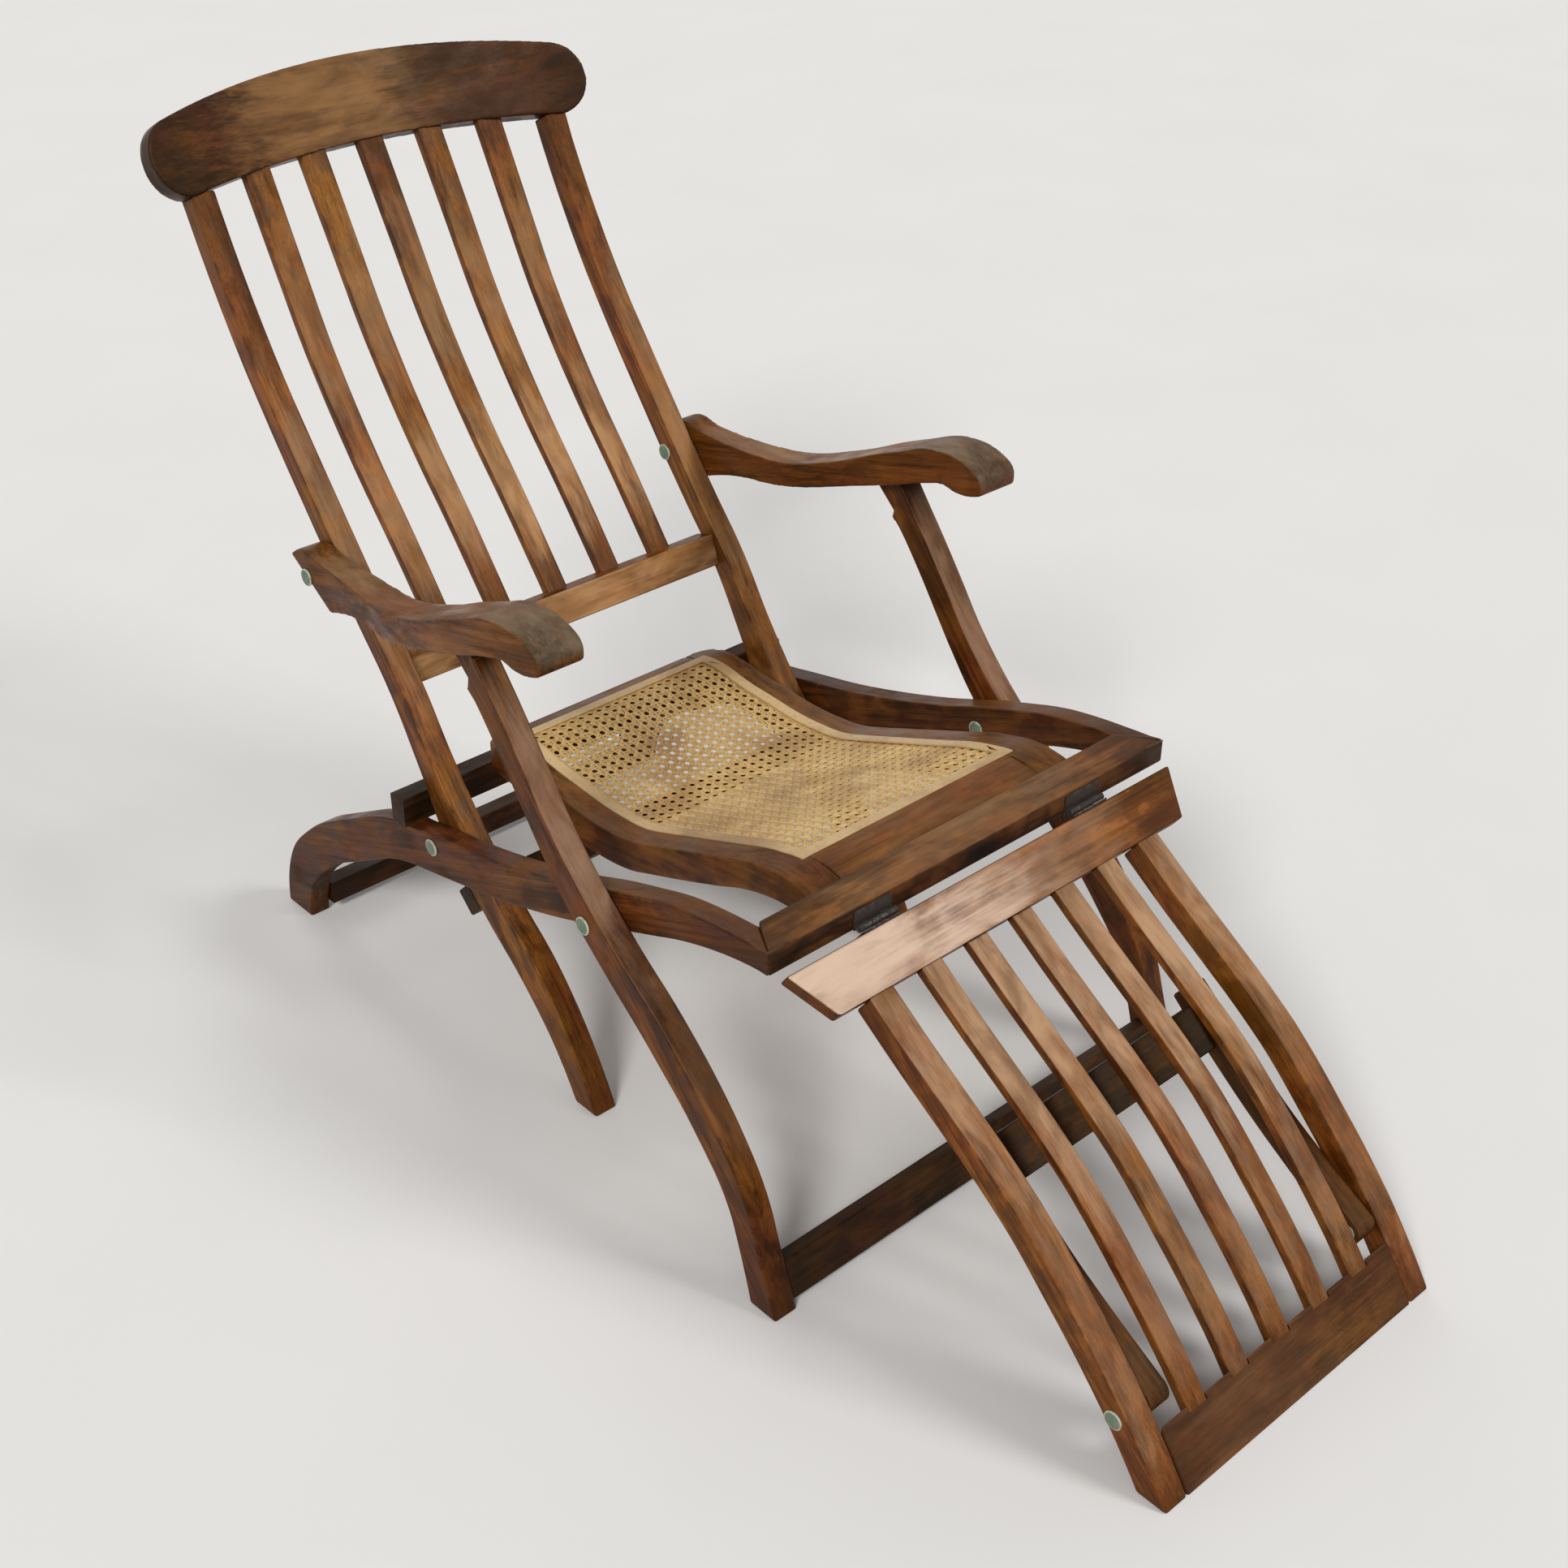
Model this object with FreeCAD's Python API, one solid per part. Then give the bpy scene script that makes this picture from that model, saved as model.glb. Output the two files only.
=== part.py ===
import FreeCAD, Part
import math
import os

# Steamer deck chair, millimetres.
# The side view is drawn as (forward, up): forward runs from the rear feet to the toes,
# up from the floor.  In the frame the chair faces -Y, +X is the sitter's left, +Z is up.

# Driving sizes.
RAIL_OUTER_X = 250.0          # half width over the side rails
RAIL_THICK = 24.0
POST_GAP = 1.0                # between a side rail and the back post inside it
POST_THICK = 26.0
LEG_GAP = 1.0                 # between a side rail and the front leg outside it
LEG_THICK = 26.0
FRAME_MID = 511.3             # forward place that the frame's origin stands under

BACK_PIVOT = (286.0, 228.0)   # back post on side rail
LEG_PIVOT = (570.0, 298.0)    # front leg on side rail
ARM_PIVOT = (116.0, 464.0)    # arm on back post
ARM_SLOT_PIN = (398.0, 521.0)  # front leg in the slot under the arm

BOLT_RADIUS = 4.0
BOLT_CLEARANCE = 0.06
HEAD_RADIUS = 9.0
HEAD_HEIGHT = 3.6
NUT_RADIUS = 8.5
NUT_HEIGHT = 4.0

POST_OUTER_X = RAIL_OUTER_X - RAIL_THICK - POST_GAP
POST_INNER_X = POST_OUTER_X - POST_THICK
LEG_INNER_X = RAIL_OUTER_X + LEG_GAP
LEG_OUTER_X = LEG_INNER_X + LEG_THICK

os.makedirs("parts", exist_ok=True)


# Drawing helpers.
EVEN_BEND = 0.045             # sine by which the two ends of one arc's chord may differ


def vec(x, forward, up):
    return FreeCAD.Vector(x, FRAME_MID - forward, up)


def side_place(point):
    return vec(0.0, point[0], point[1])


def plan_place(point):
    """Place of a (forward, lateral) point of a plan outline, at floor level."""
    return vec(point[1], point[0], 0.0)


def unit(a, b):
    length = math.hypot(b[0] - a[0], b[1] - a[1])
    return ((b[0] - a[0]) / length, (b[1] - a[1]) / length)


def headings(points):
    """Unit direction of travel at each point of a smooth line through the points."""
    steps = [unit(a, b) for a, b in zip(points, points[1:])]
    spans = [math.hypot(b[0] - a[0], b[1] - a[1]) for a, b in zip(points, points[1:])]
    result = []
    for i in range(1, len(steps)):
        share = spans[i] / (spans[i - 1] + spans[i])
        mixed = (share * steps[i - 1][0] + (1 - share) * steps[i][0],
                 share * steps[i - 1][1] + (1 - share) * steps[i][1])
        result.append(unit((0.0, 0.0), mixed))
    first = unit(result[0], (2 * steps[0][0], 2 * steps[0][1]))
    last = unit(result[-1], (2 * steps[-1][0], 2 * steps[-1][1]))
    return [first] + result + [last]


def lean_off(heading, along):
    """Sine of the angle by which a heading turns left of a direction."""
    return heading[1] * along[0] - heading[0] * along[1]


def arc(start, end, lean, place):
    """Arc from start to end that leaves by a lean (sine) to the left of the chord."""
    if abs(lean) < 0.002:
        return Part.makeLine(place(start), place(end))
    along = unit(start, end)
    half = math.hypot(end[0] - start[0], end[1] - start[1]) / 2
    bulge = math.tan(math.asin(lean) / 2) * half
    middle = (start[0] + along[0] * half - along[1] * bulge,
              start[1] + along[1] * half + along[0] * bulge)
    return Part.Arc(place(start), place(middle), place(end)).toShape()


def meeting_point(a, out, b, into):
    """Where two arcs meet that leave a and reach b along unit headings."""
    span = (b[0] - a[0], b[1] - a[1])
    both = span[0] * (out[0] + into[0]) + span[1] * (out[1] + into[1])
    square = span[0] ** 2 + span[1] ** 2
    bend = 2 * (1 - out[0] * into[0] - out[1] * into[1])
    if bend < 1e-6:
        reach = square / (2 * both)
    else:
        reach = (math.sqrt(both ** 2 + bend * square) - both) / bend
    return ((a[0] + b[0] + reach * (out[0] - into[0])) / 2,
            (a[1] + b[1] + reach * (out[1] - into[1])) / 2)


def smooth(points, place=side_place):
    """Chain of arcs through the points: one arc to a span that bends evenly, else two."""
    edges = []
    ways = headings(points)
    for i in range(len(points) - 1):
        a, b, out, into = points[i], points[i + 1], ways[i], ways[i + 1]
        along = unit(a, b)
        leaving, arriving = lean_off(out, along), lean_off(into, along)
        if abs(leaving + arriving) < EVEN_BEND:
            edges.append(arc(a, b, (leaving - arriving) / 2, place))
            continue
        joint = meeting_point(a, out, b, into)
        edges.append(arc(a, joint, lean_off(out, unit(a, joint)), place))
        edges.append(arc(joint, b, -lean_off(into, unit(joint, b)), place))
    return edges


def line(a, b, x=0.0):
    return Part.makeLine(vec(x, *a), vec(x, *b))


def between(face, x_low, x_high):
    """Prism of a side-view face between two X planes; the face lies at x = 0."""
    solid = face.extrude(FreeCAD.Vector(x_high - x_low, 0, 0))
    solid.translate(FreeCAD.Vector(x_low, 0, 0))
    return solid


def polygon(points, x_low, x_high):
    wire = Part.makePolygon([vec(0, f, u) for f, u in points + points[:1]])
    return between(Part.Face(wire), x_low, x_high)


def offsets(stations):
    """Upper and lower edge points of a bent bar from (forward, up, depth) stations."""
    upper, lower = [], []
    for i, (f, u, depth) in enumerate(stations):
        before = stations[max(i - 1, 0)]
        after = stations[min(i + 1, len(stations) - 1)]
        df, du = after[0] - before[0], after[1] - before[1]
        length = math.hypot(df, du)
        nf, nu = -du / length * depth / 2, df / length * depth / 2
        upper.append((f + nf, u + nu))
        lower.append((f - nf, u - nu))
    return upper, lower


def face_of(edges):
    return Part.Face(Part.Wire(Part.__sortEdges__(edges)))


def bent_face(stations):
    upper, lower = offsets(stations)
    ends = [line(upper[-1], lower[-1]), line(lower[0], upper[0])]
    return face_of(smooth(upper) + smooth(lower) + ends)


def bent_bar(stations, x_low, x_high):
    """Bar sawn to a curve in side view, flat on both sides."""
    return between(bent_face(stations), x_low, x_high)


def rod(x_low, x_high, place, radius):
    return Part.makeCylinder(radius, x_high - x_low, vec(x_low, *place), FreeCAD.Vector(1, 0, 0))


def mirrored(shape):
    return shape.mirror(FreeCAD.Vector(0, 0, 0), FreeCAD.Vector(1, 0, 0))


def eased(solid, radius, chosen):
    """Round the edges that a test picks, one pass; edges that can't take it stay sharp."""
    edges = [e for e in solid.Edges if chosen(e)]
    if not edges:
        return solid
    try:
        rounded = solid.makeFillet(radius, edges)
    except Part.OCCError:
        return solid
    return rounded if rounded.isValid() and rounded.Solids else solid


def lateral(shortest):
    """Picks straight edges that run from side to side."""
    def chosen(edge):
        box = edge.BoundBox
        return box.YLength < 0.01 and box.ZLength < 0.01 and box.XLength > shortest
    return chosen


def keep_above_floor(solid):
    box = solid.BoundBox
    if box.ZMin >= 0:
        return solid
    below = Part.makeBox(box.XLength + 2.0, box.YLength + 2.0, 2.0 - box.ZMin,
                         FreeCAD.Vector(box.XMin - 1.0, box.YMin - 1.0, box.ZMin - 2.0))
    return solid.cut(below)


def one_solid(shape):
    if shape.ShapeType == "Solid":
        return shape
    return max(shape.Solids, key=lambda s: s.Volume)


def turned(point, centre, degrees):
    """Side-view point turned about a centre; positive leans backwards."""
    a = math.radians(degrees)
    f, u = point[0] - centre[0], point[1] - centre[1]
    return (centre[0] + f * math.cos(a) - u * math.sin(a),
            centre[1] + f * math.sin(a) + u * math.cos(a))


def export(name, solids):
    shape = solids[0] if len(solids) == 1 else Part.makeCompound(solids)
    shape.exportStep(os.path.join("parts", name + ".step"))


# Side rails.
# Stations run from the rear foot over its arch, down past the back pivot and up
# to the front crossrail.  The arch gives the chair its rear feet.
RAIL_FOOT = (-9.0, -6.0, 48.0)
RAIL_STATIONS = [
    RAIL_FOOT,
    (8.0, 61.0, 48.0),
    (60.0, 116.0, 48.0),
    (132.0, 160.0, 48.0),
    (214.0, 202.0, 47.0),
    (BACK_PIVOT[0], 219.0, 46.0),
    (400.0, 245.0, 43.5),
    (500.0, 276.0, 41.0),
    (LEG_PIVOT[0] + 40.0, 318.0, 38.0),
    (680.0, 342.0, 32.0),
    (740.0, 354.0, 25.0),
    (796.0, 359.5, 23.0),
]
RAIL_INNER_X = RAIL_OUTER_X - RAIL_THICK

# Front crossrail: its ends are mitred onto the side rails.
CROSSRAIL_FRONT = 784.0
CROSSRAIL_REAR = 743.0
CROSSRAIL_TOP = 370.0
CROSSRAIL_BOTTOM = 347.0

# Dark rest bar let into the tops of the rails; back leans on it and seat sits on it.
REST_BAR_REAR = 221.0
REST_BAR_FRONT = 243.5
REST_BAR_BOTTOM = 231.0
REST_BAR_TOP = 263.0
REST_BAR_OVERHANG = 2.0


def crossrail_body():
    plan = [
        (-RAIL_OUTER_X, CROSSRAIL_FRONT),
        (RAIL_OUTER_X, CROSSRAIL_FRONT),
        (RAIL_INNER_X - 2.0, CROSSRAIL_REAR),
        (-RAIL_INNER_X + 2.0, CROSSRAIL_REAR),
    ]
    corners = [vec(x, f, CROSSRAIL_BOTTOM) for x, f in plan]
    face = Part.Face(Part.makePolygon(corners + corners[:1]))
    return face.extrude(FreeCAD.Vector(0, 0, CROSSRAIL_TOP - CROSSRAIL_BOTTOM))


crossrail = crossrail_body()
rest_bar = Part.makeBox(
    2 * (RAIL_OUTER_X + REST_BAR_OVERHANG),
    REST_BAR_FRONT - REST_BAR_REAR,
    REST_BAR_TOP - REST_BAR_BOTTOM,
    vec(-RAIL_OUTER_X - REST_BAR_OVERHANG, REST_BAR_FRONT, REST_BAR_BOTTOM),
)
rest_bar = eased(rest_bar, 2.0, lateral(400.0))


def side_rail():
    """Left side rail with its bolt holes, rest bar housing and crossrail mitre."""
    rail = bent_bar(RAIL_STATIONS, RAIL_INNER_X, RAIL_OUTER_X)
    rail = keep_above_floor(rail)
    front_waste = polygon(
        [(CROSSRAIL_FRONT, 0.0), (CROSSRAIL_FRONT + 60.0, 0.0),
         (CROSSRAIL_FRONT + 60.0, 500.0), (CROSSRAIL_FRONT, 500.0)],
        RAIL_INNER_X - 5.0, RAIL_OUTER_X + 5.0)
    rail = rail.cut(front_waste)
    rail = rail.cut(crossrail).cut(rest_bar)
    for place in (BACK_PIVOT, LEG_PIVOT):
        rail = rail.cut(rod(RAIL_INNER_X - 5.0, RAIL_OUTER_X + 5.0, place, BOLT_RADIUS))
    return one_solid(rail)


left_rail = side_rail()
right_rail = mirrored(left_rail)

# Rear stretcher between the rear feet.
REAR_STRETCHER = [(3.0, 11.0), (25.0, 11.0), (25.0, 38.0), (3.0, 38.0)]
rear_stretcher = polygon(REAR_STRETCHER, -RAIL_INNER_X, RAIL_INNER_X)


# Bolts.
def headed_bolt(x_head, x_end, place):
    """Bolt with a round head outside x_head and a six-sided nut beyond x_end."""
    shank = rod(min(x_head, x_end), max(x_head, x_end), place, BOLT_RADIUS)
    sign = -1.0 if x_head < x_end else 1.0
    low, high = sorted((x_head, x_head + sign * HEAD_HEIGHT))
    head = rod(low, high, place, HEAD_RADIUS)
    low, high = sorted((x_end, x_end - sign * NUT_HEIGHT))
    corners = []
    for i in range(6):
        angle = math.radians(60.0 * i)
        corners.append((place[0] + NUT_RADIUS * math.cos(angle),
                        place[1] + NUT_RADIUS * math.sin(angle)))
    nut = polygon(corners, low, high)
    return one_solid(shank.fuse([head, nut]).removeSplitter())


# Back.
# Posts run from the crest down past the back pivot to the floor as middle legs.
POST_STATIONS = [
    (-85.5, 800.0, 25.0),
    (-2.0, 640.0, 25.0),
    (76.0, 530.0, 26.0),
    (150.0, 432.0, 26.0),
    (206.0, 362.0, 27.0),
    (250.0, 290.0, 31.0),
    (286.0, 233.0, 42.0),
    (345.0, 170.0, 40.0),
    (403.0, 118.0, 39.0),
    (443.0, 70.0, 34.0),
    (470.0, 26.0, 31.5),
    (488.0, -12.0, 31.0),
]
SLAT_COUNT = 5
SLAT_SPACING = 70.0
SLAT_TOP_WIDTH = 30.0
SLAT_BOTTOM_WIDTH = 25.0
SLAT_DEPTH = 11.0
SLAT_WALL = 4.0                     # crest left standing in front of a slat's tenon
SLAT_CURVE = [(-96.0, 820.0), (-50.0, 720.0), (-6.5, 630.0), (51.5, 540.0), (121.5, 450.0),
              (180.0, 372.0)]
POST_TENON_DEPTH = 13.0

CREST_END_BOTTOM = (-66.0, 792.0)   # front lower edge of the crest above a post
CREST_LEAN = 26.6                   # degrees back from upright
CREST_HALF_LENGTH = 257.5
CREST_ARCH = 22.0                   # rise of the lower edge at the middle
CREST_TOP = 108.0
CREST_SHOULDER = (232.0, 74.0)
CREST_THICK = 28.0
CREST_BOW = 26.0                    # how far the middle stands behind a line over the posts
CREST_END_FORWARD = 17.0            # how far its end plane stands before that line
CREST_REACH = CREST_HALF_LENGTH + 20.0   # half length of the board that it is sawn from

CROSSBAR_MID = (187.0, 372.0)
CROSSBAR_HEIGHT = 35.0
CROSSBAR_THICK = 27.0
CROSSBAR_LEAN = 18.0

LEG_STRETCHER_SIZE = 29.0
LEG_STRETCHER_MID = (307.0, 164.0)
LEG_STRETCHER_LEAN = 45.0


def crest_rail():
    """Crest: an arched outline sawn from a board that is bowed in plan."""
    half = CREST_HALF_LENGTH
    down = FreeCAD.Vector
    low_mid = down(0, CREST_ARCH, 0)
    low_right = down(POST_OUTER_X - 2.0, 0, 0)
    low_left = down(-POST_OUTER_X + 2.0, 0, 0)
    tip_right = down(half, 38.0, 0)
    tip_left = down(-half, 38.0, 0)
    top_right = down(CREST_SHOULDER[0], CREST_SHOULDER[1], 0)
    top_left = down(-CREST_SHOULDER[0], CREST_SHOULDER[1], 0)
    top_mid = down(0, CREST_TOP, 0)
    corner_right = down(half - 9.0, 12.0, 0)
    corner_left = down(-half + 9.0, 12.0, 0)
    shoulder_right = down(half - 7.0, 60.0, 0)
    shoulder_left = down(-half + 7.0, 60.0, 0)
    edges = [
        Part.Arc(low_left, low_mid, low_right).toShape(),
        Part.Arc(low_right, corner_right, tip_right).toShape(),
        Part.Arc(tip_right, shoulder_right, top_right).toShape(),
        Part.Arc(top_right, top_mid, top_left).toShape(),
        Part.Arc(top_left, shoulder_left, tip_left).toShape(),
        Part.Arc(tip_left, corner_left, low_left).toShape(),
    ]
    outline = Part.Face(Part.Wire(edges)).extrude(FreeCAD.Vector(0, 0, 120))
    outline.translate(FreeCAD.Vector(0, 0, -60))
    # plan of the bowed board: local Z is towards the sitter
    reach = CREST_REACH
    ahead = CREST_END_FORWARD
    behind = ahead - CREST_THICK * 0.85
    front = Part.Arc(down(-reach, -20, ahead), down(0, -20, -CREST_BOW), down(reach, -20, ahead))
    rear = Part.Arc(down(reach, -20, behind), down(0, -20, -CREST_BOW - CREST_THICK),
                    down(-reach, -20, behind))
    front_edge, rear_edge = front.toShape(), rear.toShape()
    right = Part.makeLine(front_edge.valueAt(front_edge.LastParameter),
                          rear_edge.valueAt(rear_edge.FirstParameter))
    left = Part.makeLine(rear_edge.valueAt(rear_edge.LastParameter),
                         front_edge.valueAt(front_edge.FirstParameter))
    board = Part.Face(Part.Wire([front_edge, right, rear_edge, left]))
    board = board.extrude(FreeCAD.Vector(0, 160, 0))
    crest = outline.common(board)
    crest = one_solid(crest)
    # local X is lateral, local Y up the back, local Z forwards
    lean = math.radians(CREST_LEAN)
    up = FreeCAD.Vector(0, math.sin(lean), math.cos(lean))
    toward = FreeCAD.Vector(0, -math.cos(lean), math.sin(lean))
    place = FreeCAD.Matrix(
        1, up.x, toward.x, 0,
        0, up.y, toward.y, FRAME_MID - CREST_END_BOTTOM[0],
        0, up.z, toward.z, CREST_END_BOTTOM[1],
        0, 0, 0, 1)
    return placed(crest, place)


def placed(shape, matrix):
    moved = shape.copy()
    moved.Placement = FreeCAD.Placement(matrix)
    return moved


def back_post():
    post = bent_bar(POST_STATIONS, POST_INNER_X, POST_OUTER_X)
    post = keep_above_floor(post)
    post = post.cut(rod(POST_INNER_X - 5.0, POST_OUTER_X + 5.0, BACK_PIVOT,
                        BOLT_RADIUS + BOLT_CLEARANCE))
    post = post.cut(rod(POST_INNER_X - 5.0, POST_OUTER_X + 5.0, ARM_PIVOT, BOLT_RADIUS))
    return one_solid(post)


def post_tenon():
    """Stub tenon of a back post, shouldered all round, for the crest."""
    root = POST_STATIONS[1]
    tip = POST_STATIONS[0]
    length = math.hypot(tip[0] - root[0], tip[1] - root[1])
    step = ((tip[0] - root[0]) / length, (tip[1] - root[1]) / length)
    side = (step[1] * POST_TENON_DEPTH / 2, -step[0] * POST_TENON_DEPTH / 2)
    low = (tip[0] - 12.0 * step[0], tip[1] - 12.0 * step[1])
    high = (tip[0] + 18.0 * step[0], tip[1] + 18.0 * step[1])
    corners = [(low[0] - side[0], low[1] - side[1]), (low[0] + side[0], low[1] + side[1]),
               (high[0] + side[0], high[1] + side[1]), (high[0] - side[0], high[1] - side[1])]
    return polygon(corners, POST_INNER_X + 4.0, POST_OUTER_X - 4.0)


def behind_crest_face(point, x):
    """How far a side-view point lies behind the crest's bowed front at a lateral place."""
    lean = math.radians(CREST_LEAN)
    toward = ((point[0] - CREST_END_BOTTOM[0]) * math.cos(lean)
              + (point[1] - CREST_END_BOTTOM[1]) * math.sin(lean))
    depth = CREST_END_FORWARD + CREST_BOW
    return CREST_END_FORWARD - depth * (1 - (x / CREST_REACH) ** 2) - toward


def back_slat(index):
    """Bowed slat: a thin bent strip that grows wider towards the crest and follows its bow."""
    middle = (index - (SLAT_COUNT - 1) / 2) * SLAT_SPACING
    widest = SLAT_TOP_WIDTH
    wanted = SLAT_WALL + SLAT_DEPTH / 2
    setback = ((wanted - behind_crest_face(SLAT_CURVE[0], middle))
               / math.cos(math.radians(CREST_LEAN)))
    top, bottom = SLAT_CURVE[0][1], SLAT_CURVE[-1][1]
    stations = [(f - setback * ((u - bottom) / (top - bottom)) ** 2, u, SLAT_DEPTH)
                for f, u in SLAT_CURVE]
    strip = bent_bar(stations, middle - widest, middle + widest)
    top_up, bottom_up = SLAT_CURVE[0][1] + 20.0, SLAT_CURVE[-1][1] - 20.0
    corners = [
        (middle - SLAT_TOP_WIDTH / 2, top_up),
        (middle + SLAT_TOP_WIDTH / 2, top_up),
        (middle + SLAT_BOTTOM_WIDTH / 2, bottom_up),
        (middle - SLAT_BOTTOM_WIDTH / 2, bottom_up),
    ]
    wire = Part.makePolygon([FreeCAD.Vector(x, 0, u) for x, u in corners + corners[:1]])
    box = strip.BoundBox
    front = Part.Face(wire).extrude(FreeCAD.Vector(0, box.YLength + 2.0, 0))
    front.translate(FreeCAD.Vector(0, box.YMin - 1.0, 0))
    return one_solid(strip.common(front))


def tilted_bar(centre, lean, thick, height, x_low, x_high):
    """Straight bar with a rectangular section leaning back by lean degrees."""
    corners = [
        (centre[0] - thick / 2, centre[1] - height / 2),
        (centre[0] + thick / 2, centre[1] - height / 2),
        (centre[0] + thick / 2, centre[1] + height / 2),
        (centre[0] - thick / 2, centre[1] + height / 2),
    ]
    return polygon([turned(c, centre, lean) for c in corners], x_low, x_high)


slats = [back_slat(i) for i in range(SLAT_COUNT)]
crest = crest_rail()
left_post = one_solid(back_post().cut(crest).fuse(post_tenon()))
right_post = mirrored(left_post)
for piece in slats + [left_post, right_post]:
    crest = crest.cut(piece)
crest = one_solid(crest)
crossbar = tilted_bar(CROSSBAR_MID, CROSSBAR_LEAN, CROSSBAR_THICK, CROSSBAR_HEIGHT,
                      -POST_INNER_X, POST_INNER_X)
for piece in slats:
    crossbar = crossbar.cut(piece)
crossbar = one_solid(crossbar)

leg_stretcher = tilted_bar(LEG_STRETCHER_MID, LEG_STRETCHER_LEAN, LEG_STRETCHER_SIZE,
                           LEG_STRETCHER_SIZE, -POST_OUTER_X, POST_OUTER_X)
leg_stretcher = leg_stretcher.cut(left_post).cut(right_post)
leg_stretcher = one_solid(leg_stretcher)

# Front legs.
LEG_STATIONS = [
    (403.0, 516.5, 32.0),
    (419.0, 496.5, 32.0),
    (447.5, 462.0, 30.0),
    (482.5, 414.0, 30.0),
    (512.0, 371.3, 30.5),
    (555.5, 319.5, 35.0),
    (598.0, 281.0, 36.0),
    (668.0, 224.0, 38.0),
    (726.0, 167.0, 35.0),
    (769.0, 107.0, 30.0),
    (789.0, 50.0, 29.5),
    (806.0, -8.0, 34.0),
]
TONGUE_RADIUS = 10.0
TONGUE_THICK = 14.0
ARM_PIN_RADIUS = 3.0
OPEN_PIVOT_CLEARANCE = 2.2
SHOULDER_FRONT = 24.5         # from the slot pin along the leg to its front shoulder
SHOULDER_REAR = 48.0          # and to the rear one, clear of the arm when folded
# Flared side of the tongue, along the leg from the pin and across it.
TONGUE_NECK = [(0.0, TONGUE_RADIUS), (30.5, 11.0), (54.0, 9.0), (62.0, -12.0), (40.0, -17.5),
               (12.7, -21.8), (0.0, -TONGUE_RADIUS)]
FRONT_STRETCHER = ((801.0, 23.5), 16.5, 18.0, 41.0)   # centre, lean, thickness, height


def front_leg():
    """Curved front leg whose top end is a round tongue in the slot of the arm."""
    leg = bent_bar(LEG_STATIONS, LEG_INNER_X, LEG_OUTER_X)
    leg = keep_above_floor(leg)
    # along the top of the leg: distance from the slot pin, and across it
    down_leg = math.atan2(LEG_STATIONS[2][1] - ARM_SLOT_PIN[1],
                          LEG_STATIONS[2][0] - ARM_SLOT_PIN[0])

    def on_leg(along, across):
        return (ARM_SLOT_PIN[0] + along * math.cos(down_leg) - across * math.sin(down_leg),
                ARM_SLOT_PIN[1] + along * math.sin(down_leg) + across * math.cos(down_leg))

    shoulder_waste = polygon(
        [on_leg(SHOULDER_FRONT, 15.0), on_leg(SHOULDER_FRONT - 8.0, 60.0), on_leg(-80.0, 60.0),
         on_leg(-80.0, -60.0), on_leg(SHOULDER_REAR + 35.0, -60.0), on_leg(SHOULDER_REAR, -15.0)],
        LEG_INNER_X - 5.0, LEG_OUTER_X + 5.0)
    leg = leg.cut(shoulder_waste)
    middle = (LEG_INNER_X + LEG_OUTER_X) / 2
    low, high = middle - TONGUE_THICK / 2, middle + TONGUE_THICK / 2
    neck = polygon([on_leg(along, across) for along, across in TONGUE_NECK], low, high)
    tongue = rod(low, high, ARM_SLOT_PIN, TONGUE_RADIUS).fuse(neck)
    leg = leg.fuse(tongue).removeSplitter()
    leg = leg.cut(rod(low - 5.0, high + 5.0, ARM_SLOT_PIN, ARM_PIN_RADIUS + OPEN_PIVOT_CLEARANCE))
    leg = leg.cut(rod(LEG_INNER_X - 5.0, LEG_OUTER_X + 5.0, LEG_PIVOT,
                      BOLT_RADIUS + BOLT_CLEARANCE))
    return one_solid(leg)


left_leg = front_leg()
right_leg = mirrored(left_leg)
front_stretcher = tilted_bar(*FRONT_STRETCHER, -LEG_INNER_X, LEG_INNER_X)

# Arms.
# Side view of an arm: top line, scroll, underside, rear lobe round the arm bolt.
ARM_TOP = [(89.0, 480.0), (104.0, 490.0), (150.0, 488.0), (214.0, 488.0), (280.0, 494.0),
           (335.0, 512.0), (421.0, 549.0), (484.0, 571.0), (510.0, 572.0), (532.0, 566.0)]
ARM_NOSE = [(532.0, 566.0), (545.0, 554.0), (544.0, 541.0)]
ARM_UNDER = [(544.0, 541.0), (516.0, 534.0), (492.0, 537.0), (470.0, 531.0), (430.0, 516.0),
             (381.0, 499.0), (283.0, 467.0), (180.0, 448.0), (152.0, 438.0)]
ARM_STRAIGHT = 150.0          # forward place where the arm starts to flare outwards
ARM_INNER_X = POST_OUTER_X + 1.5
ARM_REAR_OUTER_X = ARM_INNER_X + 28.5
ARM_INNER = [(ARM_STRAIGHT, ARM_INNER_X), (230.0, ARM_INNER_X + 2.0), (330.0, ARM_INNER_X + 9.0),
             (450.0, ARM_INNER_X + 13.0), (560.0, ARM_INNER_X + 13.5)]
ARM_OUTER = [(ARM_STRAIGHT, ARM_REAR_OUTER_X), (220.0, ARM_REAR_OUTER_X + 7.0),
             (300.0, ARM_REAR_OUTER_X + 22.0), (390.0, ARM_REAR_OUTER_X + 33.0),
             (480.0, ARM_REAR_OUTER_X + 36.0), (560.0, ARM_REAR_OUTER_X + 34.0)]
SLOT_SIDE_CLEARANCE = 0.6
SLOT_TOP_CLEARANCE = 2.4
# Rear upper edge of the slot, from the pin, for the flare and for the folded leg.
SLOT_REAR_EDGE = [(-12.4, 8.0), (-28.0, 2.5), (-66.0, -24.0)]


PIN_ENDS = (LEG_INNER_X - 2.0, LEG_OUTER_X + 2.0)


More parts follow.
